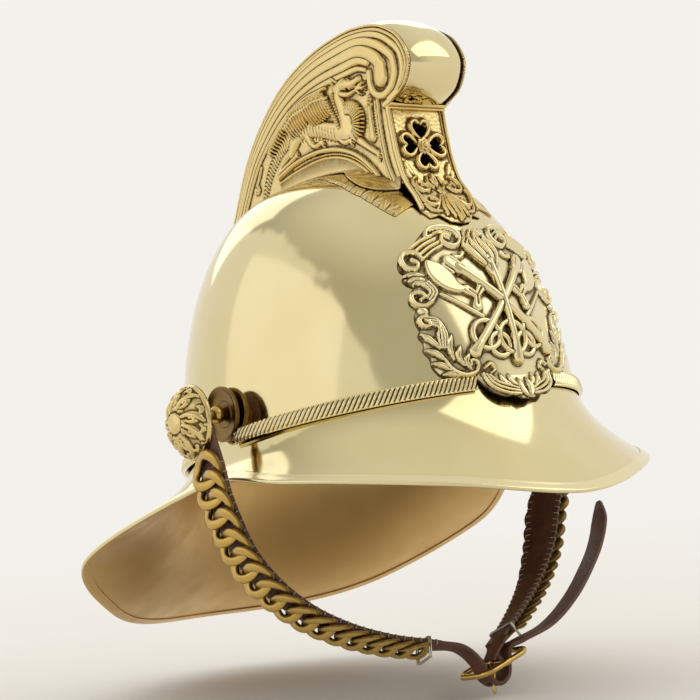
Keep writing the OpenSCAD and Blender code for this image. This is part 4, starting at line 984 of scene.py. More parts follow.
def front_plate():
    """Front plate with its four pierced hearts, a bar and lobes on top, and the star."""
    r = Relief(-18, 18, -0.6, 71, 0.3)
    ground = np.random.default_rng(9).normal(0, 0.06, r.h.shape)
    r.h += blurred(ground, 1) * 1.4
    n = 400
    line = FRONT.share(n)
    w = np.linspace(0, FRONT.end, n)
    tan = unit(np.gradient(line, axis=0))
    to_w = lambda z: float(np.interp(-z, -FRONT.share(300)[:, 1], np.linspace(0, FRONT.end, 300)))
    mid_w = to_w(QUATREFOIL_Z)
    half = 17.8
    lower = [(half, 121.1), (15.2, 116.7), (10, 118.1), (6, 114.6), (0, 113.2)]
    lower = [(x, to_w(z)) for x, z in lower]
    outline = [(-half, -0.5)] + [(-x, v) for x, v in lower] + lower[-2::-1] + [(half, -0.5)]
    holes = []
    for a in range(4):
        c, q = math.cos(math.radians(a * 90)), math.sin(math.radians(a * 90))
        turn = np.array([[c, -q], [q, c]])
        holes.append((heart(4.3) + [0, 6.26]) @ turn.T + [0, mid_w])
        for m in (-1, 1):
            curl = [(1.2, 3.6), (4.4, 6.6), (5.6, 9.6), (4.6, 12), (2.6, 12.7), (0.9, 11.6), (0.7, 9.9)]
            curl = np.array([(m * x, y) for x, y in curl]) @ turn.T + [0, mid_w]
            r.stroke(curl, [0.7, 1.15, 1.25, 1.25, 1.15, 0.9], [1.6, 2.2, 2.5, 2.3], 2.6)
    for m in (-1, 1):
        f = lambda pts: [(m * x, w) for x, w in pts]
        r.stroke(f([(17, -0.5), (17, 30), (17, to_w(121.5))]), 0.85, 1.5)
        r.stroke(f([(15.4, -0.5), (15.4, 30), (15.2, to_w(122.5))]), 0.35, 0.6)
        r.leaf(f([(13.6, 28.6), (12.6, 32), (10.4, 35.6)]), 1.7, 1.5)
        r.leaf(f([(14, 32), (13.8, 35), (12, 38.2)]), 1.5, 1.3)
        r.stroke(f([(9.4, 36.4), (13.2, 39), (14, 43.6), (11.4, 47.4), (7.4, 46.8), (6.4, 43.6),
                    (8.8, 42)]), [0.7, 1.1, 1.1, 0.9, 0.8], 1.9)
        r.stroke(f([(10.6, 39.4), (11.8, 42.8), (10, 45.2)]), 0.45, 1.1)
        r.stroke(f([(15.2, 46), (15.4, 52), (12.6, 57.4), (8.6, 57.6), (7.4, 54.4), (9.8, 53)]),
                 [0.6, 1.1, 1.1, 0.9, 0.7], 1.9)
        r.stroke(f([(14.9, 57), (12.4, 61.4), (8.4, 62.4)]), [0.6, 0.9, 0.5], 1.5)
        r.stroke(f([(3.4, 36.6), (4.6, 40.6), (3, 44.6)]), [0.4, 0.9, 0.5], 1.6)
        for x0, x1, w1 in ((1.2, 2.6, 66), (2.2, 6.2, 64.6), (3.2, 9.6, 60.6)):
            r.stroke(f([(x0, 50.5), ((x0 + x1) / 2 + 0.9, 57), (x1, w1)]), [0.55, 0.95, 0.6], 1.7)
    r.leaf([(0, 35.4), (0, 39), (0, 43.4)], 2.1, 2.0, 0.6)
    r.leaf([(0, 44), (0, 47), (0, 51)], 2.3, 1.9, 0.6)
    r.stroke([(0, 51), (0, 58), (0, 68)], [0.6, 1.0, 0.7], 1.9)

    def place(x, ww, h):
        y, z = np.interp(ww, w, line[:, 0]), np.interp(ww, w, line[:, 1])
        ty, tz = np.interp(ww, w, tan[:, 0]), np.interp(ww, w, tan[:, 1])
        extra = np.minimum(ww, 0)
        bend = 4 * (x / half)**2 * np.clip((ww - 40) / 22, 0, 1)**1.5
        return np.stack([x, y + tz * h + ty * extra + bend, z - ty * h + tz * extra], 1)

    s = Shape()
    r.sheet(s, place, np.array(outline), holes, back=-PLATE)
    for dy, dz, rad in ((-1.2, 1.3, 1.25), (-0.2, -0.5, 0.75)):
        xs = np.linspace(-17.6, 17.6, 25)
        tube(s, np.stack([xs, np.full(25, -51.6 + dy), np.full(25, 174.4 + dz)], 1), rad, 12, cav=-0.1)
    for i in range(7):
        a = math.radians(-78 + i * 26)
        tip = np.array([9.5 * math.sin(a), -57 - 4.2 * math.cos(a), 178.2 + 3.2 * math.cos(a)])
        root = np.array([2.2 * math.sin(a), -54.2, 176.4])
        capsule(s, root, tip, 1.15, 8, cav=0.1)
    s.build("front_plate", [embossed], "helmet", "embossed_brass", "comb_front_plate", angle=70)
    s = Shape()
    place = lambda p: np.stack([p[..., 0], -55.2 - p[..., 2], QUATREFOIL_Z + p[..., 1]], -1)
    # The lower, wider star is darkened a little by cav and the upper one not: painted shade under the upper
    # star.
    for i, (reach, height) in enumerate(((4.4, 0.8), (3.0, 1.7))):
        for turn in (0, 45):
            q = np.radians(np.arange(4) * 90 + turn + 45)
            rim = np.stack([np.cos(q), np.sin(q)], 1) * reach
            rings = [np.c_[rim * k, np.full(4, z)] for k, z in
                     ((1, 0), (1, height * 0.7), (0.86, height), (0.3, height + 0.25))]
            loft(s, place(np.array(rings)), cav=0.15 - 0.2 * i)
    revolve(s, [(0.01, 0), (1.5, 0), (1.5, 2.2), (1.1, 2.9), (0.01, 3.1)], place, 24, cav=-0.2)
    s.build("quatrefoil_star", [embossed], "helmet", "embossed_brass", "quatrefoil_boss", angle=40)


for word, side in SIDES:
    comb_side("comb_plate_" + word, "comb_side_" + word, side)
    comb_lip("comb_lip_" + word, side)
    foot("comb_leaf_foot_" + word, "comb_foot_" + word, side)
roll()
front_plate()

# Badge
BADGE_Z = 69.5


def on_front(x, z, d):
    s = np.clip((z - BASE_Z - 1.9) / (CROWN - 1.9), 0, 0.98)
    t = np.degrees(np.arcsin(np.clip(x / (HALF_WID * inward(s)), -1, 1)))
    return skull_at(s, t, -d)


def on_badge(u, v, h):
    z = BADGE_Z + v
    return on_front(u, z, 0.35 + h + 0.45 * np.maximum(0, 38 - z))


LEFT_EDGE = [(0, 38.6), (-6.5, 39.4), (-12, 40.6), (-20.5, 40.8), (-26.4, 36.6), (-31.5, 32),
             (-36.2, 28.8), (-39.6, 25.4), (-40.3, 20.7), (-38.6, 18.6), (-41, 16.6), (-39.6, 14),
             (-37.6, 12.6), (-40.6, 9), (-41.6, 5), (-39.8, 2.4), (-41.2, -0.6), (-41.6, -4.4),
             (-41, -8), (-42.2, -10), (-40.8, -14), (-41.7, -17.3), (-39.8, -21), (-39.7, -24.7),
             (-36.4, -29.9), (-28.8, -32.2), (-22.4, -31.6), (-20.8, -34), (-17, -38.4),
             (-11.6, -41), (-6.4, -41), (-3.4, -42.4), (0, -42.6)]


def field(u, v):
    """Height of the badge's plain ground, raised in the middle."""
    return 2.0 + 1.1 * np.maximum(0, 1 - (u / 33)**2 - (v / 34)**2)


BADGE_GRID = (-43, 43, -43.4, 41.6, 0.33)


def badge():
    """Cartouche: scrolls, leaves and curls along a bent edge, alike on both sides."""
    half = Spline(LEFT_EDGE).share(150)
    outline = np.vstack([half, (half[1:-1] * [-1, 1])[::-1]])
    r = Relief(*BADGE_GRID)
    d, _ = seg_distance(r.U, r.V, outline[::2], True)
    r.h = np.minimum(field(r.U, r.V), 0.9 + 1.6 * np.sqrt(np.clip(d / 4, 0, 1)))
    for m in (-1, 1):
        f = lambda pts: [(-m * x, v) for x, v in pts]
        st = lambda pts, w, h: r.stroke(f(pts), w, h, 2.0, 1.6)
        lf = lambda pts, w, h: (r.stroke(f(pts), [0.25 * w, w, 0.85 * w, 0.15 * w], h, 2.0, 1.6),
                                r.groove(f(pts), 0.28 * w, 0.5))
        for i in range(4):
            st([(-33.4 + i * 1.25, 29.6 - i * 1.7), (-27.5 + i * 1.05, 33.2 - i * 1.7),
                (-21.8 + i * 0.8, 35.4 - i * 1.7)], 0.75, 2.5)
        st([(-24.6, 34.8), (-22.6, 38), (-16.6, 39.6), (-10.6, 38), (-9, 34), (-11.6, 30.6), (-16, 30.2),
            (-18.4, 32.8), (-16.6, 35.4), (-14, 34.4)], [0.9, 1.3, 1.4, 1.2, 1.1, 0.9], 2.8)
        st([(-20.6, 36.4), (-16, 37.4), (-12.4, 35.8)], 0.6, 2.3)
        st([(-30.2, 24.2), (-31.6, 27.4), (-35.6, 28), (-38.4, 24.6), (-37.4, 20.6), (-34, 20.2),
            (-32.8, 22.6), (-34.6, 24.4)], [0.8, 1.2, 1.2, 1.1, 0.8], 2.7)
        for dz in (0, 2.2, 4.2):
            lf([(-40.2 + 0.5 * dz, 17 - dz), (-37, 17.6 - dz), (-32, 16.8 - dz)], 1.2, 2.2)
        for i in range(3):
            st([(-31.8 - i * 1.25, 13.6 - i * 0.5), (-29.8 - i * 1.3, 8.8),
                (-32.6 - i * 0.9, 4.6 + i * 0.9)], 0.75, 2.4)
        st([(-33, 4.4), (-36.6, 2.6), (-39.8, 4), (-39.8, 8), (-36.6, 9), (-35, 6.8), (-37, 5.6)],
           [0.9, 1.2, 1.1, 0.8], 2.7)
        r.bead(f([(-37.6, 0.3)])[0], 2.2, 2.6, 1.5)
        for i in range(4):
            st([(-38.8 + i * 1.0, -2.6 - i * 1.2), (-34 + i * 0.2, -3.6 - i * 1.3), (-31.2 - i * 1.0, -10),
                (-32.2 - i * 1.0, -17)], 0.7, 2.3)
        st([(-37.2, -1.9), (-40, -3.4), (-39.2, -6.6), (-36.4, -6.4), (-36.8, -4.4)], [1, 1.1, 0.9], 2.7)
        for leaf in ([(-41, -10), (-38.4, -12.6), (-35, -17.4)],
                     [(-40.8, -17.4), (-37.4, -19), (-33.6, -23.4)],
                     [(-39.4, -23.6), (-36, -24.6), (-31.4, -28)],
                     [(-36, -29), (-32, -28.8), (-27, -30.4)],
                     [(-29.2, -11.4), (-31.2, -17), (-30.4, -23.6)],
                     [(-26.6, -16.8), (-28.4, -21.6), (-26.4, -26)],
                     [(-23.4, -20.4), (-25.6, -24), (-23.6, -28)]):
            lf(leaf, 1.6, 2.4)
        st([(-34.6, -22), (-31.6, -27.4), (-26.4, -29.8), (-21.6, -28.2), (-20.6, -24.6), (-23.2, -23.4),
            (-23.8, -25.6)], [0.7, 1.1, 1.2, 1.0, 0.8], 2.7)
        st([(-17.6, -27.2), (-14.6, -25.6), (-13, -28.2), (-15, -29.6)], [0.8, 1.0, 0.7], 2.6)
        for i in range(3):
            st([(-19 + i * 1.5, -29.8 - i * 0.4), (-17 + i * 1.7, -35.4 + i * 0.9),
                (-11 + i * 1.5, -39 + i * 1.5), (-4.4, -40 + i * 1.2)], 0.8, 2.3)
        lf([(-11, -30.6), (-9.6, -34), (-6, -36.8)], 1.3, 2.2)
        lf([(-6.8, -31), (-6, -34), (-3.4, -36.6)], 1.2, 2.2)
        lf([(-2.2, -33.4), (-2.6, -37.4), (-0.6, -41.6)], 1.7, 2.8)
        lf([(-4.4, 38.6), (-5, 35.6), (-7.2, 32)], 1.2, 2.0)
        st([(-1.4, 38), (-2.6, 36), (-5.4, 35.4)], 0.7, 2.2)
    return r, outline


def trophy():
    """Crossed axes behind a torch, over the rings of a hose."""
    r = Relief(*BADGE_GRID, base=-1.0)
    st = lambda pts, w, h, p=2.0: r.stroke(pts, w, h, p)
    for x, v, rad, high in ((-7.4, -17.2, 5.2, 1.5), (7.4, -17.2, 5.2, 1.5), (-13.4, -12.4, 6.4, 2.0),
                            (13.4, -12.4, 6.4, 2.0), (0, -14.2, 7.2, 2.3)):
        q = np.radians(np.linspace(0, 360, 40))
        st(np.stack([x + rad * np.cos(q), v + rad * np.sin(q)], 1), 1.35, high)
    for m in (-1, 1):
        f = lambda pts: [(m * x, v) for x, v in pts]
        st(f([(28.4, 7.4), (13, -4.2)]), [0.9, 1.2], 1.6)
        for tip in ((9.2, 9.4), (16.6, 8.6), (14.2, 0.4)):
            st(f([(12.8, 5.4), tip]), [1.5, 2.5], 2.1, 3)
        for tip in ((9.8, 8.6), (15.8, 8), (13.8, 1.4)):
            r.groove(f([(12.8, 5.4), tip]), 0.55, 0.9)
        blade = [(24.4, 22.4), (29.4, 24), (31, 18.6), (29.4, 13), (25, 8.6), (18.8, 7.2), (15.6, 8.6),
                 (19.2, 12), (20.2, 15.6), (21.6, 18.4)]
        poly = Spline(np.vstack([blade, blade[:1]])).share(60)[:-1]
        r.fill(f(poly), 1.9, 1.3)
        st(f([(22.4, 20.6), (20, 17.6)]), 1.6, 1.9, 4)
    for m in (-1, 1):
        f = lambda pts: [(m * x, v) for x, v in pts]
        st(f([(19.6, 22.4), (16.4, 18.4)]), [2.9, 2.9], 2.7, 8)
        r.groove(f([(22.4, 20.6), (18, 15.8)]), 0.3, 0.4)
        r.groove(f([(19.8, 24.4), (14.6, 18.2)]), 0.3, 0.4)
        st(f([(15.8, 24.6), (13, 24.6), (11.2, 26.4)]), [1.6, 0.9, 1.3], 1.6)
        st(f([(17, 19), (0, 2.6), (-19, -17.6)]), [2.2, 2.0, 2.1], 3.0 if m > 0 else 3.5)
        st(f([(-17.6, -16.2), (-20.8, -20)]), [2.2, 3.0], 3.2 if m > 0 else 3.6)
    st([(0, 21), (0, 4), (0, -18)], [1.7, 1.7, 1.8], 4.1)
    st([(0, -17), (0, -24.4)], [1.9, 2.8], 3.9)
    st([(0, 14), (0, 21.6)], [1.8, 4.2], 3.1, 3)
    lean = -1.6  # of the torch's flames, sideways
    for a in range(-3, 4):
        st([(a * 1.05, 19.4), (a * 2.1 + lean * 0.4, 24.6), (a * 2.4 + lean * 1.6, 30),
            (a * 1.6 + lean * 1.2 + 1.6 * (-1)**a, 37 - abs(a) * 1.3)], [0.8, 1.25, 1.0, 0.3],
           2.7 + 0.9 * (a % 2))
    return r


def badge_pieces():
    """The trophy lies on the badge's field, and both take their darkening, tarnish and painted shade round
    the trophy, from the two together.
    """
    plate, outline = badge()
    tools = trophy()
    both = Relief(*BADGE_GRID)
    on = field(both.U, both.V)
    both.h = np.where(tools.h > -0.9, on + tools.h, plate.h)
    plate.shade = tools.shade = both.cavity()
    s = Shape()
    plate.sheet(s, on_badge, outline, back=0.0)
    s.build("badge_cartouche", [badge_metal], "helmet", "embossed_brass", "badge_plate", angle=75)
    s = Shape()
    sunk = -0.35  # the trophy's back lies this deep in the field
    place = lambda u, v, h: on_badge(u, v, field(u, v) + np.maximum(h, sunk))
    tools.sheet(s, place, back=sunk, keep=tools.h > -0.9)
    s.build("badge_axes_torch_hose", [badge_metal], "helmet", "embossed_brass", "badge_trophy", angle=75)


badge_pieces()

# Side bosses and rosettes
BOSS_Y, BOSS_Z, DROP = -3.0, 32.0, 3.0


def boss_place(side, dz=0.0):
    """Turns points over a boss, the third figure being the reach from the middle, into places."""
    return lambda p: np.stack([side * p[..., 2], BOSS_Y + p[..., 0], BOSS_Z + dz + p[..., 1]], -1)


def rosette(name, node_name, side):
    """Domed rosette: leaves and curls round an oval button, with a thin edge line."""
    r = Relief(-18.3, 18.3, -18.3, 18.3, 0.36)
    far = np.hypot(r.U, r.V)
    prof = Spline([(0, 122.4), (4.3, 122.2), (6.1, 121.4), (7.6, 120.8), (11.5, 118.9), (15.5, 115.6),
                   (17.2, 113.8), (18, 112.4), (19, 112.2)]).share(300)
    dome = np.interp(far, prof[:, 0], prof[:, 1])
    rng = np.random.default_rng(11)
    for i in range(9):
        a0 = i * 40 + rng.uniform(-5, 5)
        turn = lambda pts: [((6.4 + k) * math.cos(math.radians(a0 + a)),
                             (6.4 + k) * math.sin(math.radians(a0 + a))) for k, a in pts]
        r.stroke(turn([(0.6, -10), (4, -6), (7.4, 3), (9.6, 14)]), [1.0, 1.5, 1.5, 0.7], 1.6)
        r.stroke(turn([(2.2, 8), (4.4, 14), (6.4, 12), (6.2, 5), (4.4, 4)]), [0.7, 1.1, 1.1, 0.8], 1.5)
        r.stroke(turn([(8.4, -14), (9.6, -6), (8.6, 1)]), [0.6, 1.1, 0.6], 1.2)
        r.stroke(turn([(0.5, 9), (1.6, 20)]), [1.0, 0.7], 1.2)
        r.bead(turn([(10.2, 20 + rng.uniform(-3, 3))])[0], 0.85, 1.1)
    q = np.linspace(0, 2 * np.pi, 90)
    r.stroke(np.stack([17.4 * np.cos(q), 17.4 * np.sin(q)], 1), 0.55, 0.6)
    oval = np.sqrt(np.clip(1 - (r.U / 6.0)**2 - (r.V / 5.0)**2, 0, 1))
    r.h = np.where(oval > 0, 0.3 + 0.8 * oval, r.h) * np.clip((18.6 - far) / 1.0, 0.2, 1)
    r.shade = r.cavity()
    r.h = r.h + dome - 1.1
    circle = np.array(arc_points((0, 0), 18, 0, 360, 121)[:-1])
    s = Shape()
    place = lambda u, v, h: boss_place(side, -DROP)(np.stack([u, v, h], -1))
    r.sheet(s, place, circle, flat_back=True, back=111.0)
    s.build(name, [embossed], "chin_strap", "embossed_brass", node_name, angle=70)


def boss_base(name, node_name, side):
    """Dish with a rounded rim, round the stud."""
    s = Shape()
    prof = [(2.7, 92.2), (8, 92.1), (12.6, 92.4), (13.2, 93.2), (13.4, 94.6), (13.2, 95.1),
            (12.8, 95.2), (12.4, 94.9), (11.4, 93.9), (9.6, 93.3), (7.8, 93.1), (6.6, 93.1),
            (6.2, 93.5), (5.6, 93.3), (2.7, 93.3)]
    revolve(s, prof, boss_place(side), 96)
    # Its dark brass is painted shade for the dish's dark reflections.
    s.build(name, [dark_metal], "helmet", "dark_brass", node_name, angle=30)


for word, side in SIDES:
    rosette("rosette_dome_" + word, "rosette_" + word, side)
    boss_base("boss_dish_" + word, "boss_base_" + word, side)

# Chin strap
STRAP_X, WID_TOP, WID_END, THICK = 109.7, 21.0, 10.5, 2.0
CUT = 0.45  # radius of the leathers' edges

# Routes of the leathers, and the direction of their width at each point
right_route = [(-STRAP_X, -8, 22), (-STRAP_X, -15.7, 6.2), (-STRAP_X, -20.9, -7.8), (-108.6, -27, -20.8),
               (-104.2, -32.5, -36.3), (-96.9, -40.2, -49.9), (-85.7, -46.3, -61.3), (-68.4, -51.8, -71.6),
               (-50, -57, -78.6), (-24, -63.5, -84.5), (-12, -66.3, -87.4)]
left_route = [(STRAP_X, -4.5, 22), (STRAP_X + 0.2, -5.6, 9), (109.8, -6.9, -3), (106.5, -7.9, -13.8),
              (98.6, -10.5, -26), (85.4, -19.8, -44.8), (65.2, -32.4, -62.9), (37, -48, -79),
              (24, -55, -84.3), (14, -61, -88.3)]
left_width = [(0, 1, -0.1), (0, 1, -0.15), (-0.08, 1, -0.15), (-0.25, 0.92, -0.1), (-0.42, 0.88, 0),
              (-0.42, 0.88, 0), (-0.25, 0.92, -0.15), (-0.1, 0.95, -0.3), (0, 0.97, -0.3), (0, 0.97, -0.2)]

# The buckle's middle and its own three directions: along the strap, along the bar, and up
BUCKLE = np.array([6, -68.5, -96.5])
c18, s18, c8, s8 = (f(math.radians(a)) for a in (18, 8) for f in (math.cos, math.sin))
BX = np.array([c18, 0, s18])
BY = np.array([s8 * s18, c8, -s8 * c18])
BZ = np.cross(BX, BY)
PRONG_WAY = np.array([-0.4392, 0, -0.8984])
threading = [(-8.6, 3.4), (-7.6, -4.6), (-4, -9), (1.6, -8.2), (6.4, -1.6), (9.6, 3.2)]
tail = [(21, -68.8, -88.2), (44, -65.2, -83), (68, -57.4, -72.8), (88, -49, -60.6), (102, -43, -49),
        (112, -37, -37.5), (117.6, -32, -27.8)]
end_route = right_route[9:11] + [tuple(BUCKLE + u * BX + w * BZ) for u, w in threading] + tail
end_width = [(0, 1, -0.35), (0, 1, -0.2)] + [tuple(BY)] * 6 + [(0, 1, -0.15)] * 7


class Strap:
    """A leather's middle line with the direction of its width."""

    def __init__(self, route, widths, outward):
        self.s = Spline(route)
        self.w = Spline(widths, self.s.k)
        self.out = outward

    def at(self, t):
        """Place, direction, width direction and outward direction at a length."""
        t = np.atleast_1d(np.asarray(t, float))
        e = self.s.end
        v = unit(self.s(np.minimum(e, t + 0.5)) - self.s(np.maximum(0, t - 0.5)))
        w = self.w(t)
        w = unit(w - (w * v).sum(1, keepdims=True) * v)
        return self.s(t), v, w, self.out * np.cross(v, w)


RIGHT = Strap(right_route, [(0, 1, -0.35)] * 11, -1)
LEFT = Strap(left_route, left_width, 1)
END = Strap(end_route, end_width, -1)


def strap_width(k):
    """Width at a share of the strap's length."""
    return WID_TOP + (WID_END - WID_TOP) * np.asarray(k, float)


CORNERS = ((1, 1, 0), (-1, 1, 90), (-1, -1, 180), (1, -1, 270))


def strap_section(half, thick):
    """Rounded rectangle round a strap, in width and height from its middle."""
    h, pts = thick / 2, []
    for sx, sy, a0 in CORNERS:
        for a in (0, 45, 90):
            q = math.radians(a0 + a)
            pts.append((sx * (half - CUT) + CUT * math.cos(q), sy * (h - CUT) + CUT * math.sin(q)))
    return np.array(pts)


# The faces round that section: 1 is a cut edge, 0 the grain side, the flesh side or a corner
EDGE_MATS = [0, 0, 0, 0, 0, 1] * 2


def strap_loft(shape, p, w, n, half, offset=0.0, thick=THICK):
    """Leather along points p with its width along w and its outside along n."""
    rings = []
    for i in range(len(p)):
        sec = strap_section(half[i], thick)
        rings.append(p[i] + (sec[:, :1] + offset) * w[i] + sec[:, 1:] * n[i])
    loft(shape, rings, side_mat=EDGE_MATS)


def strap_head(shape, side):
    """Round end of a leather, with the hole for the boss's stud."""
    prof = [(4.3, 108.5), (11.6, 108.5), (12, 108.9), (12, 110.5), (11.6, 110.9), (4.3, 110.9)]
    revolve(shape, prof, boss_place(side), 64)


def stitches(shape, strap, t0, t1):
    """Threads that pass over the leather's edges, a little aslant."""
    pitch, inset = 4.2, 2.3
    t = np.arange(t0, t1, pitch)
    p, v, w, n = strap.at(t)
    half = strap_width(t / strap.s.end) / 2
    path = np.array([(-inset, 0.5, 0.85), (-inset, 0.5, 1.06), (-0.9, 0.25, 1.12), (-0.05, 0.1, 1.06),
                     (0.14, 0, 0.7), (0.16, 0, 0), (0.14, 0, -0.7), (-0.05, -0.1, -1.06),
                     (-0.9, -0.25, -1.12), (-inset, -0.5, -1.06), (-inset, -0.5, -0.85)])
    for i in range(len(t)):
        for m in (-1, 1):
            q = (p[i] + (m * (half[i] + path[:, :1])) * w[i] + path[:, 1:2] * v[i]
                 + path[:, 2:] * (THICK / 2) * n[i])
            tube(shape, q, 0.24, 6)


def right_leather():
    """Leather that is threaded through the buckle, slotted for the prong, and ends in the tail."""
    s = Shape()
    t = np.linspace(0, 0.93, 70) * RIGHT.s.end
    p, _, w, n = RIGHT.at(t)
    half = strap_width(t / RIGHT.s.end) / 2
    te = np.linspace(0, 1, 131)[1:] * END.s.end
    pe, _, we, ne = END.at(te)
    tip = 0.93  # share of the length at which the tail begins to narrow
    point = np.maximum(te / END.s.end - tip, 0) / (1 - tip)
    he = WID_END * (1 - 0.7 * point**1.6) / 2
    rel = pe - BUCKLE
    bu, bw = rel @ BX, rel @ BZ
    cross = bu * PRONG_WAY[2] - bw * PRONG_WAY[0]
    down = bu * PRONG_WAY[0] + bw * PRONG_WAY[2]
    slot = np.nonzero((np.abs(cross) < 4) & (down > 4.5) & (down < 15.5))[0]
    a, b = slot.min(), slot.max()
    strap_loft(s, *(np.vstack(x) for x in ((p, pe[:a + 1]), (w, we[:a + 1]), (n, ne[:a + 1]))),
               np.r_[half, he[:a + 1]])
    strap_loft(s, pe[b:], we[b:], ne[b:], he[b:])
    slot_half = 1.6
    strip = (WID_END / 2 - slot_half) / 2
    for m in (-1, 1):
        strap_loft(s, pe[a:b + 1], we[a:b + 1], ne[a:b + 1], np.full(b - a + 1, strip),
                   m * (slot_half + strip))
    strap_head(s, -1)
    s.build("right_leather", [brown_leather, cut_edge], "chin_strap", "brown_leather",
            "strap_leather_right")
    s = Shape()
    stitches(s, RIGHT, 18, 0.92 * RIGHT.s.end)
    s.build("right_stitches", [thread], "chin_strap", "brown_leather")


def left_leather():
    """Leather that is looped round the buckle's bar and folded back on itself."""
    s = Shape()
    t = np.linspace(0, 1, 80) * LEFT.s.end
    p, _, w, n = LEFT.at(t)
    half = strap_width(t / LEFT.s.end) / 2
    strap_loft(s, p, w, n, half)
    rad = 2.3  # of the loop round the bar
    q = np.radians(np.linspace(75, -200, 34))
    loop = BUCKLE + rad * np.cos(q)[:, None] * BX + rad * np.sin(q)[:, None] * BZ
    start = p[-1]
    lead = np.array([start + (loop[0] - start) * k for k in (0, 0.35, 0.7)])
    path = np.vstack([lead, loop])
    wide = np.repeat(BY[None], len(path), 0)
    out = np.cross(frames_along(path, up=BY)[0], wide)
    for m in (-1, 1):
        strap_loft(s, path, wide, out, np.full(len(path), 1.52), m * 3.22)
    fold = [BUCKLE + u * BX + ww * BZ for u, ww in ((-1.6, 1.9), (2.5, 4.6), (7.4, 7.0), (11.5, 9.0))]
    fold = Spline(fold).share(14)
    out = np.cross(frames_along(fold, up=BY)[0], BY)
    strap_loft(s, fold, wide[:14], out, np.full(14, 4.4), thick=1.6)
    strap_head(s, 1)
    s.build("left_leather", [brown_leather, cut_edge], "chin_strap", "brown_leather", "strap_leather_left")
    s = Shape()
    stitches(s, LEFT, 18, 0.93 * LEFT.s.end)
    s.build("left_stitches", [thread], "chin_strap", "brown_leather")


LINKS, LINK_TAPER, LINK_PITCH = 17, 0.22, 9.576
# Half length, half width and weave of a link's middle line, and its height over the leather
LINK_LEN, LINK_WID, LINK_WEAVE, LINK_LIFT = 7.0, 9.8, 1.4, 2.85

# Where the wire ties cross the last link: height over the leather, and length past its middle
LINK_HIGH, LINK_END = 7.2, 6.56


def link_scale(i):
    """Size of a link as a share of the top one."""
    return 1 - LINK_TAPER * i / LINKS


def link_places(n, at):
    """Lengths along the strap at which n links sit, from the first one on."""
    out = []
    for i in range(n):
        out.append(at)
        at += LINK_PITCH * link_scale(i + 0.5)
    return out


RIGHT_PLACES = link_places(LINKS, 18)
LEFT_PLACES = link_places(LINKS - 1, 21.5)


def chain(name, node_name, strap, places, shift):
    """Curb chain: each link is a broad oval, ground flat, that weaves over its neighbour."""
    s = Shape()
    n_path, n_wire = 48, 14
    q = np.linspace(0, 2 * np.pi, n_path, endpoint=False)
    m = np.linspace(0, 2 * np.pi, n_wire, endpoint=False)
    ca, cb = np.cos(m), np.sin(m)
    for i, at in enumerate(places):
        c = link_scale(i)
        p, v, w, n = (x[0] for x in strap.at(at))
        o = p + n * (THICK / 2 + 0.3 + LINK_LIFT * c) + shift * w
        path = (o + (LINK_LEN * c * np.cos(q))[:, None] * v + (LINK_WID * c * np.sin(q))[:, None] * w
                + (LINK_WEAVE * c * np.sin(2 * q))[:, None] * n)
        _, a, b = frames_along(path, closed=True, up=n)
        wide = c * (2.3 + 0.3 * np.abs(np.sin(q)))[:, None]
        across = wide * np.sign(ca) * np.abs(ca)**0.75
        high = 1.55 * c * np.sign(cb) * np.abs(cb)**0.85
        ring = path[:, None] + across[..., None] * a[:, None] + high[None, :, None] * b[:, None]
        # cav darkens the wire on its side towards the leather and on its flanks, and not on top: painted
        # shade.
        top = (b @ n)[:, None] * cb[None, :]
        cav = np.clip(0.5 - 0.75 * top + 0.25 * np.abs(ca)[None, :], -0.2, 1)
        loft(s, ring, wrap=True, cav=cav.ravel())
    s.build(name, [chain_metal], "chin_strap", "chain_brass", node_name, angle=50)


def ties():
    """Two turns of wire round each leather and the lower end of its last link."""
    s = Shape()
    for strap, places in ((RIGHT, RIGHT_PLACES), (LEFT, LEFT_PLACES)):
        c = link_scale(len(places) - 1)
        over = LINK_HIGH * c + 1.1
        end = places[-1] + LINK_END * c
        for step in (-0.5, 0.5):
            p, _, w, n = (x[0] for x in strap.at(end + step))
            half = float(strap_width(end / strap.s.end)) / 2 + 1.1
            lo, hi = -THICK / 2 - 0.7, THICK / 2 + 0.2 + over
            pts = []
            for (x, y), a0 in (((half, hi), 0), ((-half, hi), 90), ((-half, lo), 180), ((half, lo), 270)):
                for a in (0, 30, 60, 90):
                    r = math.radians(a0 + a)
                    k = 1 if y > 0 else 0.4
                    pts.append(p + (x - math.copysign(1, x) + math.cos(r)) * w
                               + (y - math.copysign(k, y) + k * math.sin(r)) * n)
            tube(s, np.array(pts), 0.42, 8, closed=True)
    s.build("wire_ties", [tie_wire], "chin_strap", "plain_brass", "chain_ties", angle=60)


right_leather()
left_leather()
chain("chain_links_right", "chain_right", RIGHT, RIGHT_PLACES, -0.7)
chain("chain_links_left", "chain_left", LEFT, LEFT_PLACES, 0)
ties()


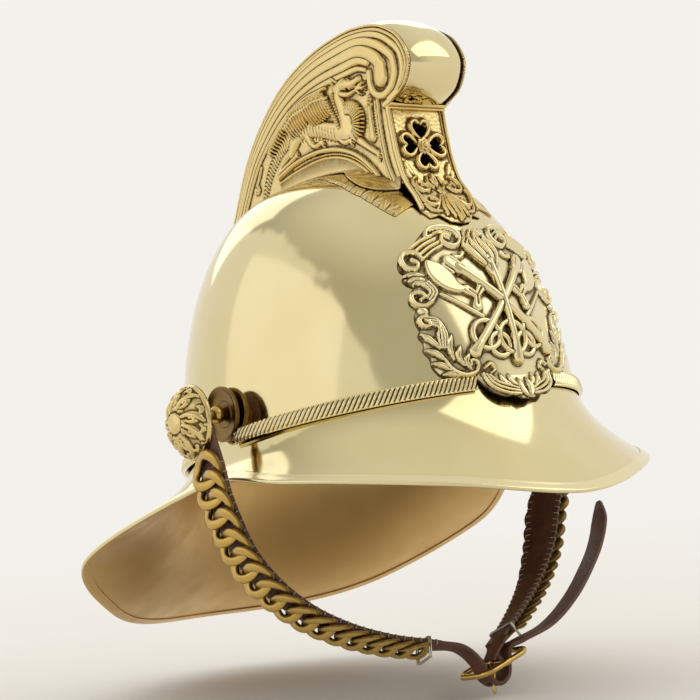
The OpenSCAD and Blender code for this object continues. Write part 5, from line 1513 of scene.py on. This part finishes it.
def buckle():
    """Oval frame with a middle bar, and the prong that turns on it."""
    to = lambda p: BUCKLE + p[..., :1] * BX + p[..., 1:2] * BY + p[..., 2:] * BZ
    s = Shape()
    pts = []
    for cx, cy, a0 in ((8, 4.5, 0), (-8, 4.5, 90), (-8, -4.5, 180), (8, -4.5, 270)):
        for a in np.linspace(0, 90, 13):
            q = math.radians(a0 + a)
            pts.append((cx + 7 * math.cos(q), cy + 7 * math.sin(q), 0))
    pts = np.array(pts)
    closed = np.vstack([pts, pts[:1]])
    run = np.r_[0, np.cumsum(np.linalg.norm(np.diff(closed, axis=0), axis=1))]
    even = np.stack([np.interp(np.linspace(0, run[-1], 97)[:-1], run, closed[:, i]) for i in range(3)], 1)
    tube(s, to(even), 1.4, 16, closed=True, up=BZ)
    bar = np.stack([np.zeros(9), np.linspace(-11.4, 11.4, 9), np.zeros(9)], 1)
    tube(s, to(bar), [1.5, 1.25] + [1.2] * 5 + [1.25, 1.5], 20)
    for y in (-11.2, 11.2):
        path = np.stack([np.linspace(-2.2, 2.2, 9), np.full(9, y), np.zeros(9)], 1)
        tube(s, to(path), [1.42, 1.6, 1.72, 1.78, 1.8, 1.78, 1.72, 1.6, 1.42], 16)
    s.build("buckle_oval", [chain_metal], "buckle", "chain_brass", "buckle_frame", angle=50)
    s = Shape()
    k = np.array([2.0, 3.2, 5, 8, 11, 13.2, 14.1, 14.5])
    r = np.array([1.15, 1.1, 1.05, 0.95, 0.85, 0.75, 0.6, 0.25])
    tube(s, to(k[:, None] * PRONG_WAY), r, 14)
    ring = [(1.27, -1.3), (2.1, -1.3), (2.4, -0.9), (2.4, 0.9), (2.1, 1.3), (1.27, 1.3)]
    revolve(s, ring, lambda p: to(np.stack([p[..., 0], p[..., 2], p[..., 1]], -1)), 36)
    s.build("prong", [chain_metal], "prong", "plain_brass", "buckle_prong", angle=45)


buckle()


# Liner
# Depth of the liner's outside under the skull's, and the span and sag of the crown leathers
BAND = WALL + 2
CROWN_LOW, CROWN_TOP, CROWN_SINK = 9.2 / CROWN, 0.996, 7


def crown_at(rise, turn, lift):
    """Point on a crown leather, with its rise from 0 at the band to 1 at the lace."""
    s = CROWN_LOW + (CROWN_TOP - CROWN_LOW) * rise
    return skull_at(s, turn, BAND + lift + CROWN_SINK * rise)


# Section of a crown leather: share of its half width, and height
LEATHER = [(-1, 0.3), (-0.97, 0), (-0.6, -0.25), (0, -0.4), (0.6, -0.25), (0.97, 0), (1, 0.3),
           (1, 1.1), (0.97, 1.4), (0.6, 1.15), (0, 1.0), (-0.6, 1.15), (-0.97, 1.4), (-1, 1.1)]


def liner():
    """Sweatband, eight crown leathers with their seams, and the lace through their tips."""
    n = 220
    t = np.arange(n) * 360 / n
    q = skull_at(0, t, BAND)
    q2 = skull_at(0, t, BAND + 2)
    near = np.minimum(np.abs(t - 90), np.abs(t - 270))
    dip = 8.5 * np.clip(1.25 - near / 5, 0, 1)**0.8
    rows = []
    for d, z in ((0, 8), (0, 0), (0, -16), (0, -23.4), (0.3, -24), (0.7, -24), (1, -23.4), (1, -16), (1, 0),
                 (1, 7.6), (0.6, 8.2), (0.2, 8.2)):
        p = q + (q2 - q) * d
        z = np.full(n, float(z))
        z = np.where(z > 7, z - dip, z)
        rows.append(np.stack([p[:, 0], p[:, 1], BASE_Z + z - SLOPE * p[:, 1]], 1))
    s = Shape()
    loft(s, np.stack(rows, 1), wrap=True)
    s.build("sweatband", [liner_leather], "helmet", "brown_leather", "liner_sweatband", angle=60)
    s = Shape()
    for a in np.arange(0, 360, 3.2):
        p = skull_at(0, a, BAND + 2.1)
        e = skull_at(0, a + 1.7, BAND + 2.1)
        for z in (-21.5, 5.2):
            if z > 0 and min(abs(a - 90), abs(a - 270)) < 8:
                continue
            lift = np.array([0, 0, z - p[2] + BASE_Z - SLOPE * p[1]])
            capsule(s, p + lift, e + lift, 0.4, 6)
    for i in range(8):
        for a in (-15.5, 15.5):
            for k in np.arange(0.1, 0.9, 0.04):
                ends = [crown_at(math.sin(math.radians(90 * kk)), (i + 0.5) * 45 + a, 2.85)
                        for kk in (k, k + 0.022)]
                capsule(s, *ends, 0.35, 6)
    s.build("liner_stitches", [thread], "helmet", "brown_leather")
    s = Shape()
    for i in range(8):
        mid = (i + 0.5) * 45
        ks = np.sin(np.radians(np.linspace(0, 90, 40)))
        rows = [crown_at(ks, mid + e * 18 * (1 - 0.12 * ks**4), 1.4 + lift) for e, lift in LEATHER]
        loft(s, np.stack(rows, 1))
    s.build("crown_leathers", [liner_leather], "helmet", "brown_leather", "liner_crown", angle=60)
    s = Shape()
    n = 260
    q = np.linspace(0, 2 * np.pi, n, endpoint=False)
    rad = 16.5 + 0.35 * np.sin(8 * q)
    path = np.stack([rad * np.cos(q), LEAN * CROWN_TOP + rad * np.sin(q), np.full(n, 133.4)], 1)
    for j in range(3):
        ph = 2 * np.pi * j / 3 + 22 * q
        off = np.stack([np.cos(q) * np.cos(ph), np.sin(q) * np.cos(ph), np.sin(ph)], 1) * 0.52
        tube(s, path + off, 0.62, 8, closed=True)
    s.build("crown_lace", [thread], "helmet", "cotton_lace", "liner_lace", angle=70)


liner()

# Small CAD nodes that stay
KEPT = {"comb_screws": plain_metal, "comb_nuts": plain_metal, "badge_studs": plain_metal,
        "badge_nuts": plain_metal, "boss_nuts": plain_metal, "boss_stud_right": chain_metal,
        "boss_stud_left": chain_metal, "liner_clips": plain_metal, "strap_eyelets": plain_metal}
for name, mat in KEPT.items():
    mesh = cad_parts[name].data
    for i in range(max(1, len(mesh.materials))):
        if i < len(mesh.materials):
            mesh.materials[i] = mat
        else:
            mesh.materials.append(mat)

# Camera, floor and light
# The camera was fitted to the photo: R is its right, U its top and F the way it looks
cam = bpy.data.cameras.new("camera")
cam.lens, cam.sensor_width, cam.sensor_fit = 98.04, 36, "HORIZONTAL"
eye = bpy.data.objects.new("camera", cam)
R = Vector((0.8067186, -0.58562647, -0.07903632))
U = Vector((0.03476345, -0.08648501, 0.99564645))
F = Vector((0.58991238, 0.80595408, 0.04941067))
rot = Matrix((R, U, -F)).transposed().to_4x4()
eye.matrix_world = Matrix.Translation((-0.5805164, -0.7744646, 0.0127841)) @ rot
bpy.context.scene.collection.objects.link(eye)
bpy.context.scene.camera = eye

PALE = (0.9, 0.88, 0.84)


def seen(t):
    """Rays of the camera, and those of reflections and glass."""
    ray = node(t, "ShaderNodeLightPath")
    out = ray.outputs["Is Camera Ray"]
    for kind in ("Is Glossy Ray", "Is Transmission Ray"):
        m = node(t, "ShaderNodeMath", operation="MAXIMUM")
        t.links.new(out, m.inputs[0])
        t.links.new(ray.outputs[kind], m.inputs[1])
        out = m.outputs[0]
    return out


pale, t, s = material("pale_floor", (0.83, 0.81, 0.77), 0.9, 0.0, Specular_IOR_Level=0.1)
t.links.new(ramp(t, noise(t, 3, 2), [(0.3, (0.82, 0.8, 0.76)), (0.7, (0.84, 0.82, 0.78))]),
            s.inputs["Base Color"])
far = node(t, "ShaderNodeVectorMath", operation="LENGTH")
t.links.new(node(t, "ShaderNodeNewGeometry").outputs["Position"], far.inputs[0])
away = node(t, "ShaderNodeMath", operation="MULTIPLY")
t.links.new(spread(t, far.outputs["Value"], 0, 1, 0.35, 1.6), away.inputs[0])
t.links.new(seen(t), away.inputs[1])
haze = node(t, "ShaderNodeEmission", Color=(*PALE, 1), Strength=1.0)
both = node(t, "ShaderNodeMixShader")
t.links.new(away.outputs[0], both.inputs[0])
t.links.new(s.outputs[0], both.inputs[1])
t.links.new(haze.outputs[0], both.inputs[2])
t.links.new(both.outputs[0], t.nodes["Material Output"].inputs["Surface"])
me = bpy.data.meshes.new("floor")
half, z = 6.0, -0.112  # in metres, just below the strap
me.from_pydata([(-half, -half, z), (half, -half, z), (half, half, z), (-half, half, z)], [], [(0, 1, 2, 3)])
me.materials.append(pale)
floor = bpy.data.objects.new("floor", me)
bpy.context.scene.collection.objects.link(floor)
floor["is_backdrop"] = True


def lamp(name, place, target, size, power, color=(1, 1, 1)):
    """Rectangular light that faces a point."""
    data = bpy.data.lights.new(name, "AREA")
    data.shape, data.size, data.size_y = "RECTANGLE", size[0], size[1]
    data.energy, data.color = power, color
    o = bpy.data.objects.new(name, data)
    o.location = place
    o.rotation_euler = (Vector(target) - Vector(place)).to_track_quat("-Z", "Y").to_euler()
    bpy.context.scene.collection.objects.link(o)


lamp("key", (0.9, -1.7, 1.9), (0, 0, 0.06), (2.6, 1.8), 15, (1, 0.97, 0.92))
lamp("side", (-2.3, 0.9, 1.0), (0, 0, 0.05), (3.4, 2.2), 5, (1, 0.98, 0.95))
lamp("back", (0.8, 1.9, 1.5), (0, 0, 0.08), (2.2, 1.4), 8)

world = bpy.data.worlds.new("world")
bpy.context.scene.world = world
world.use_nodes = True
t = world.node_tree
bg = t.nodes["Background"]
DIM = (0.53, 0.52, 0.47)


def facing(way):
    """How far a ray points along a direction, from -1 to 1."""
    m = node(t, "ShaderNodeVectorMath", operation="DOT_PRODUCT")
    t.links.new(node(t, "ShaderNodeTexCoord").outputs["Generated"], m.inputs[0])
    m.inputs[1].default_value = way
    return m.outputs["Value"]


def plus(a, b, kind="ADD"):
    """Sum of two values, or what else the kind says."""
    m = node(t, "ShaderNodeMath", operation=kind)
    for sock, val in zip(m.inputs, (a, b)):
        if isinstance(val, bpy.types.NodeSocket):
            t.links.new(val, sock)
        else:
            sock.default_value = val
    return m.outputs[0]


# A studio has darker walls above and in front of the helmet, which the polished brass shows
drift = node(t, "ShaderNodeTexNoise", Scale=3.2, Detail=3.0, Roughness=0.5)
t.links.new(node(t, "ShaderNodeTexCoord").outputs["Generated"], drift.inputs["Vector"])
side = plus(facing((-0.66, 0.425, -0.62)), spread(t, drift.outputs["Fac"], -0.09, 0.09))
wall = plus(spread(t, side, 1, 0, 0.03, 0.05), spread(t, facing((1, 0, 0)), 1, 0, 0.05, 0.5), "MULTIPLY")
wall = plus(wall, spread(t, facing((0, 0, 1)), 1, 0.25, 0.72, 0.96), "MULTIPLY")
ray = node(t, "ShaderNodeLightPath")
mirror = mix(t, plus(wall, ray.outputs["Is Glossy Ray"], "MULTIPLY"), PALE, DIM)
t.links.new(mix(t, seen(t), (0.84, 0.82, 0.78), mirror), bg.inputs["Color"])
bg.inputs["Strength"].default_value = 1.0
bpy.context.scene.view_settings.view_transform = "Standard"

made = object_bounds()
plain = lambda b: [[float(c) for c in p] for p in b] if hasattr(b[0], "__len__") else [float(c) for c in b]
{"cad": plain(cad_box), "visual": plain(made)}
